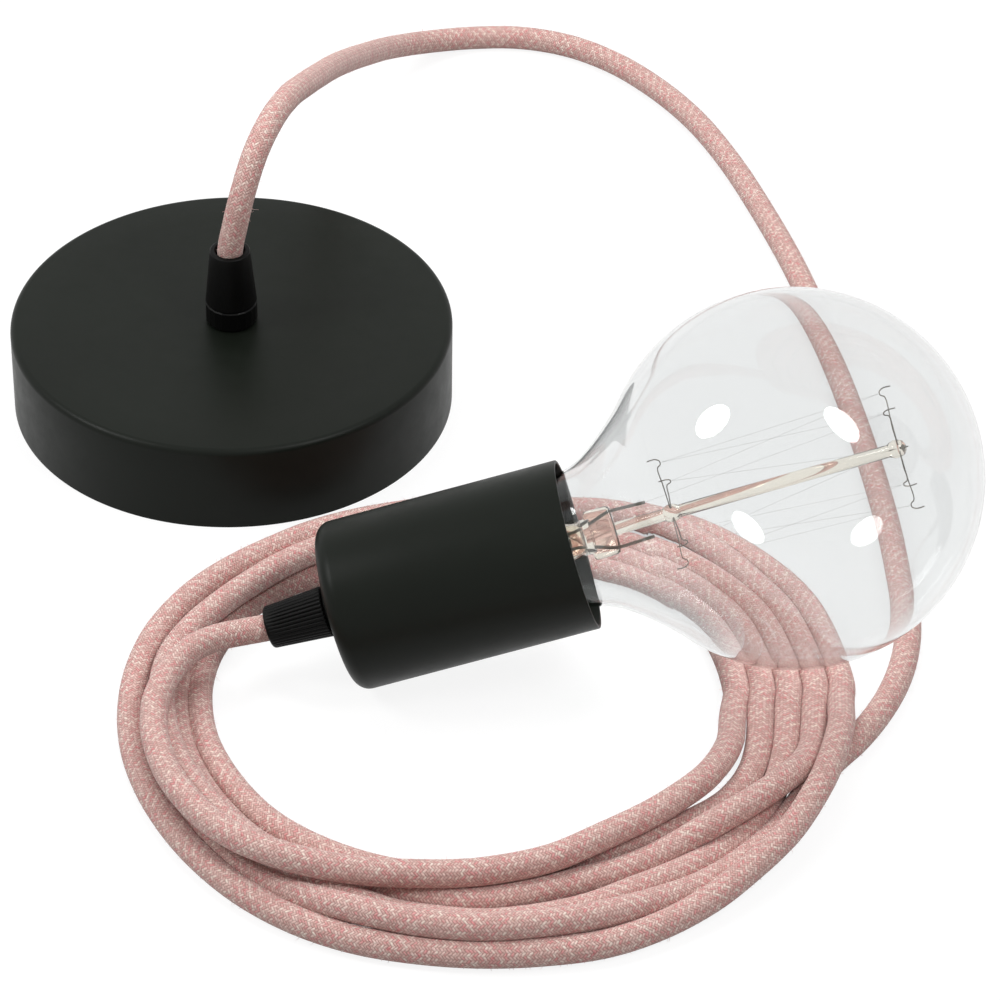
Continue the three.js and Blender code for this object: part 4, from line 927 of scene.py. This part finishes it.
def inset(points, depth):
    """The outline moved in by the glass's thickness, square to itself."""
    moved = []
    for number, point in enumerate(points):
        along = points[min(number + 1, len(points) - 1)] - points[max(number - 1, 0)]
        along.normalize()
        if point.x == 0:
            moved.append(Vector((0, point.y - depth)))
        else:
            moved.append(Vector((point.x - depth * along.y, point.y + depth * along.x)))
    return moved


def make_globe(material):
    """Neck and globe as one closed wall of glass."""
    outside = glass_outline()
    profile = list(reversed(inset(outside, GLASS_WALL))) + outside
    points, faces = turned([(point.x, point.y) for point in profile], GLOBE_SIDES)
    globe = mesh_piece("blown_globe", points, faces, material, bulb_frame(True), smooth_deg=60)
    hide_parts("bulb_glass")


def bead(height):
    """A swelling of the rod that holds a round of hooks."""
    half, swell, rows = 2.0, 0.7, 10
    return [(ROD_RADIUS + swell * (1 - (2 * row / rows - 1) ** 2), height + half * (2 * row / rows - 1))
            for row in range(rows + 1)]


def make_stem(material):
    """Flare, pinch and rod with two beads, melted into one piece of glass."""
    rim = NECK_RADIUS - GLASS_WALL - PLAY
    pipe, wall = 4.5, 0.7
    pinch_low, pinch_high = 39.5, 46.5
    outside = [(rim, NECK_START), (rim - 0.5, NECK_START + 0.9), (rim - 1.6, NECK_START + 1.6),
               (pipe + 3.4, NECK_START + 2.8), (pipe + 2, NECK_START + 4.4), (pipe + 1.1, NECK_START + 6.4),
               (pipe + 0.5, NECK_START + 8.6), (pipe + 0.15, NECK_START + 10.4), (pipe, NECK_START + 12),
               (pipe, pinch_low + 1), (0, pinch_low + 1)]
    inside = [(0, pinch_low - 0.6), (pipe - wall - 0.8, pinch_low - 1.2), (pipe - wall, pinch_low - 3),
              (pipe + 0.5 - wall, NECK_START + 8.4), (pipe + 2 - wall, NECK_START + 4.9),
              (rim - 1.6 - wall, NECK_START + 2.1), (rim - wall - 0.2, NECK_START)]
    flare = turned(inside + outside, FLARE_SIDES)
    shaft = [(0, pinch_high - 3), (ROD_RADIUS, pinch_high - 3)] + bead(LOWER_BEAD) + bead(UPPER_BEAD - 0.6)
    shaft += [(ROD_RADIUS - 0.2, 120.7), (ROD_RADIUS - 0.7, 121), (0, 121.1)]
    place = bulb_frame(True)
    parts = [mesh_piece("glass_stem", *flare, material, place),
             mesh_piece("pinch", *pinch(pinch_low, pinch_high), material, place),
             mesh_piece("rod", *turned(shaft, ROD_SIDES), material, place)]
    stem = melt(parts)
    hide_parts("bulb_stem")


def pinch(low, high):
    """The flat pinch with its rounded edges, narrower at its top."""
    levels = [(low, 0.9), (low + 0.5, 1.0), (high - 1.0, 1.0), (high - 0.3, 0.93), (high, 0.8)]
    sides, flat, edge, steep = 40, 4.15, 2.1, 1.6
    points = [(0, 0, low)]
    for height, share in levels:
        for side in range(sides):
            turn = 2 * math.pi * side / sides
            way = 1 if math.cos(turn) > 0 else -1
            x = flat * way * min(1, abs(math.cos(turn)) * steep) + edge * math.cos(turn)
            points.append((x * share, edge * math.sin(turn) * share, height))
    faces = [tuple(index + 1 for index in face) for face in ring_faces(len(levels), sides, False)]
    last = 1 + (len(levels) - 1) * sides
    faces += [(0, 1 + (side + 1) % sides, 1 + side) for side in range(sides)]
    faces.append(tuple(last + side for side in range(sides)))
    return points, faces


def melt(parts):
    """Joins closed meshes into the first of them, with no faces left inside."""
    first = parts[0]
    for other in parts[1:]:
        union = first.modifiers.new("union", "BOOLEAN")
        union.operation = "UNION"
        union.solver = "EXACT"
        union.object = other
    joined = bpy.data.meshes.new_from_object(first.evaluated_get(bpy.context.evaluated_depsgraph_get()))
    first.modifiers.clear()
    first.data = joined
    for other in parts[1:]:
        bpy.data.objects.remove(other)
    joined.polygons.foreach_set("use_smooth", [True] * len(joined.polygons))
    joined.set_sharp_from_angle(angle=math.radians(35))
    return first


def hook_turn(place):
    """The nine hooks share one round of ten places, and the last is left free."""
    return math.radians(54 - 36 * place)


def make_hooks(material):
    """Fine wire hooks in both beads, notched for the filament, with tips that turn away from it."""
    rounds = [("upper_hook_", UPPER_BEAD, UPPER_REACH, 1, 0, 5),
              ("lower_hook_", LOWER_BEAD, LOWER_REACH, -1, 1, 4)]
    for node, height, reach, away, first, count in rounds:
        for number in range(count):
            turn = hook_turn(first + 2 * number)
            notch = height - away * HOOK_NOTCH
            rows = [(ROD_RADIUS - 0.4, height), (0.5 * reach, height), (reach - 2.4, height),
                    (reach - 1.7, notch), (reach - 0.7, notch), (reach - 0.1, height),
                    (reach, height + away * 0.8), (reach - 0.1, height + away * 2.1)]
            spots = [Vector((radius * math.cos(turn), radius * math.sin(turn), z)) for radius, z in rows]
            path = curve_through(spots, 0.3)
            hook = tube("fine_" + node + str(number + 1), path, HOOK_DIAMETER, 6, material,
                        bulb_frame(True))
            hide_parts(node + str(number + 1))


def make_filament(material):
    """The thin coiled wire that runs up and down through the hooks, from one lead to the other."""
    spots = [(LEAD_REACH, 0, LEAD_TOP)]
    rest = HOOK_NOTCH + (HOOK_DIAMETER + FILAMENT_DIAMETER) / 2
    for place in range(9):
        turn = hook_turn(place)
        reach, height = UPPER_REACH - NOTCH_MIDDLE, UPPER_BEAD - rest
        if place % 2:
            reach, height = LOWER_REACH - NOTCH_MIDDLE, LOWER_BEAD + rest
        spots.append((reach * math.cos(turn), reach * math.sin(turn), height))
    spots.append((-LEAD_REACH, 0, LEAD_TOP))
    path = curve_through([Vector(spot) for spot in straighten(spots)], 0.8)
    wire = tube("fine_filament", path, FILAMENT_DIAMETER, 5, material, bulb_frame(True))
    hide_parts("filament")


def straighten(spots):
    """Points close to each corner, so that the wire runs straight from one hook to the next."""
    held, close = [spots[0]], 1.5
    for before, spot, after in zip(spots, spots[1:], spots[2:]):
        here = Vector(spot)
        held.append(here + (Vector(before) - here).normalized() * close)
        held.append(here)
        held.append(here + (Vector(after) - here).normalized() * close)
    return held + [spots[-1]]


# The set


make_camera()
for box_name, box in SOFT_BOXES.items():
    soft_box(box_name, *box)
make_world()
make_stage()
bpy.context.scene.view_settings.view_transform = "Standard"

FINISHES = {
    "satin_black": satin_paint(),
    "black_plastic": moulded_plastic("black_plastic", linear(5, 5, 5), linear(10, 10, 9), 0.42, 0.1),
    "white_plastic": moulded_plastic("white_plastic", linear(224, 222, 214), linear(236, 234, 228), 0.5),
    "vitrite": moulded_plastic("black_glass", linear(16, 13, 18), linear(28, 24, 30), 0.2),
    "brown_core": moulded_plastic("brown_core", linear(84, 48, 30), linear(98, 60, 40), 0.45),
    "blue_core": moulded_plastic("blue_core", linear(40, 92, 160), linear(56, 108, 176), 0.45),
    "zinc_steel": worn_metal("zinc_plated_steel", linear(176, 180, 186), linear(204, 206, 208), 0.34),
    "brass": worn_metal("brass", linear(168, 132, 66), linear(198, 160, 92), 0.34),
    "nickel": worn_metal("nickel_plated_cap", linear(188, 190, 190), linear(214, 214, 212), 0.24),
    "support_wire": worn_metal("support_wire", linear(92, 88, 82), linear(128, 124, 116), 0.4),
    "tungsten": worn_metal("tungsten_wire", linear(120, 118, 116), linear(150, 148, 146), 0.45),
    "porcelain": fired_clay(),
    "clear_glass": clear_glass("clear_glass", linear(239, 240, 240), 0.05),
    "stem_glass": clear_glass("stem_glass", linear(250, 244, 232), 0.10),
    "textile": braid(),
}

cord_path = make_cord(FINISHES["textile"])
make_fibres(cord_path, loose_fibre())
make_canopy(FINISHES["satin_black"])
make_shell(FINISHES["satin_black"])
grip_cap("rose_cone", "rose_grip_cone", ROSE_GRIP, rose_frame(ROSE_HEIGHT), FINISHES["black_plastic"])
holder_grip_frame = works_frame() @ Matrix.Rotation(math.pi, 4, "X")
grip_cap("ribbed_cap", "holder_grip_cap", HOLDER_GRIP, holder_grip_frame, FINISHES["black_plastic"])
tail_thread("rose_tail_thread", 11, rose_frame(ROSE_HEIGHT), FINISHES["black_plastic"])
tail_thread("holder_tail_thread", 9.5, holder_grip_frame, FINISHES["black_plastic"])
make_bulb_cap(FINISHES["nickel"])
make_screw_shell(FINISHES["brass"])
make_globe(FINISHES["clear_glass"])
make_stem(FINISHES["stem_glass"])
make_hooks(FINISHES["support_wire"])
make_filament(FINISHES["tungsten"])

for part in frame["record"]["subparts"]:
    dress(NODES[part["node"]], FINISHES[part["material_slot"]])
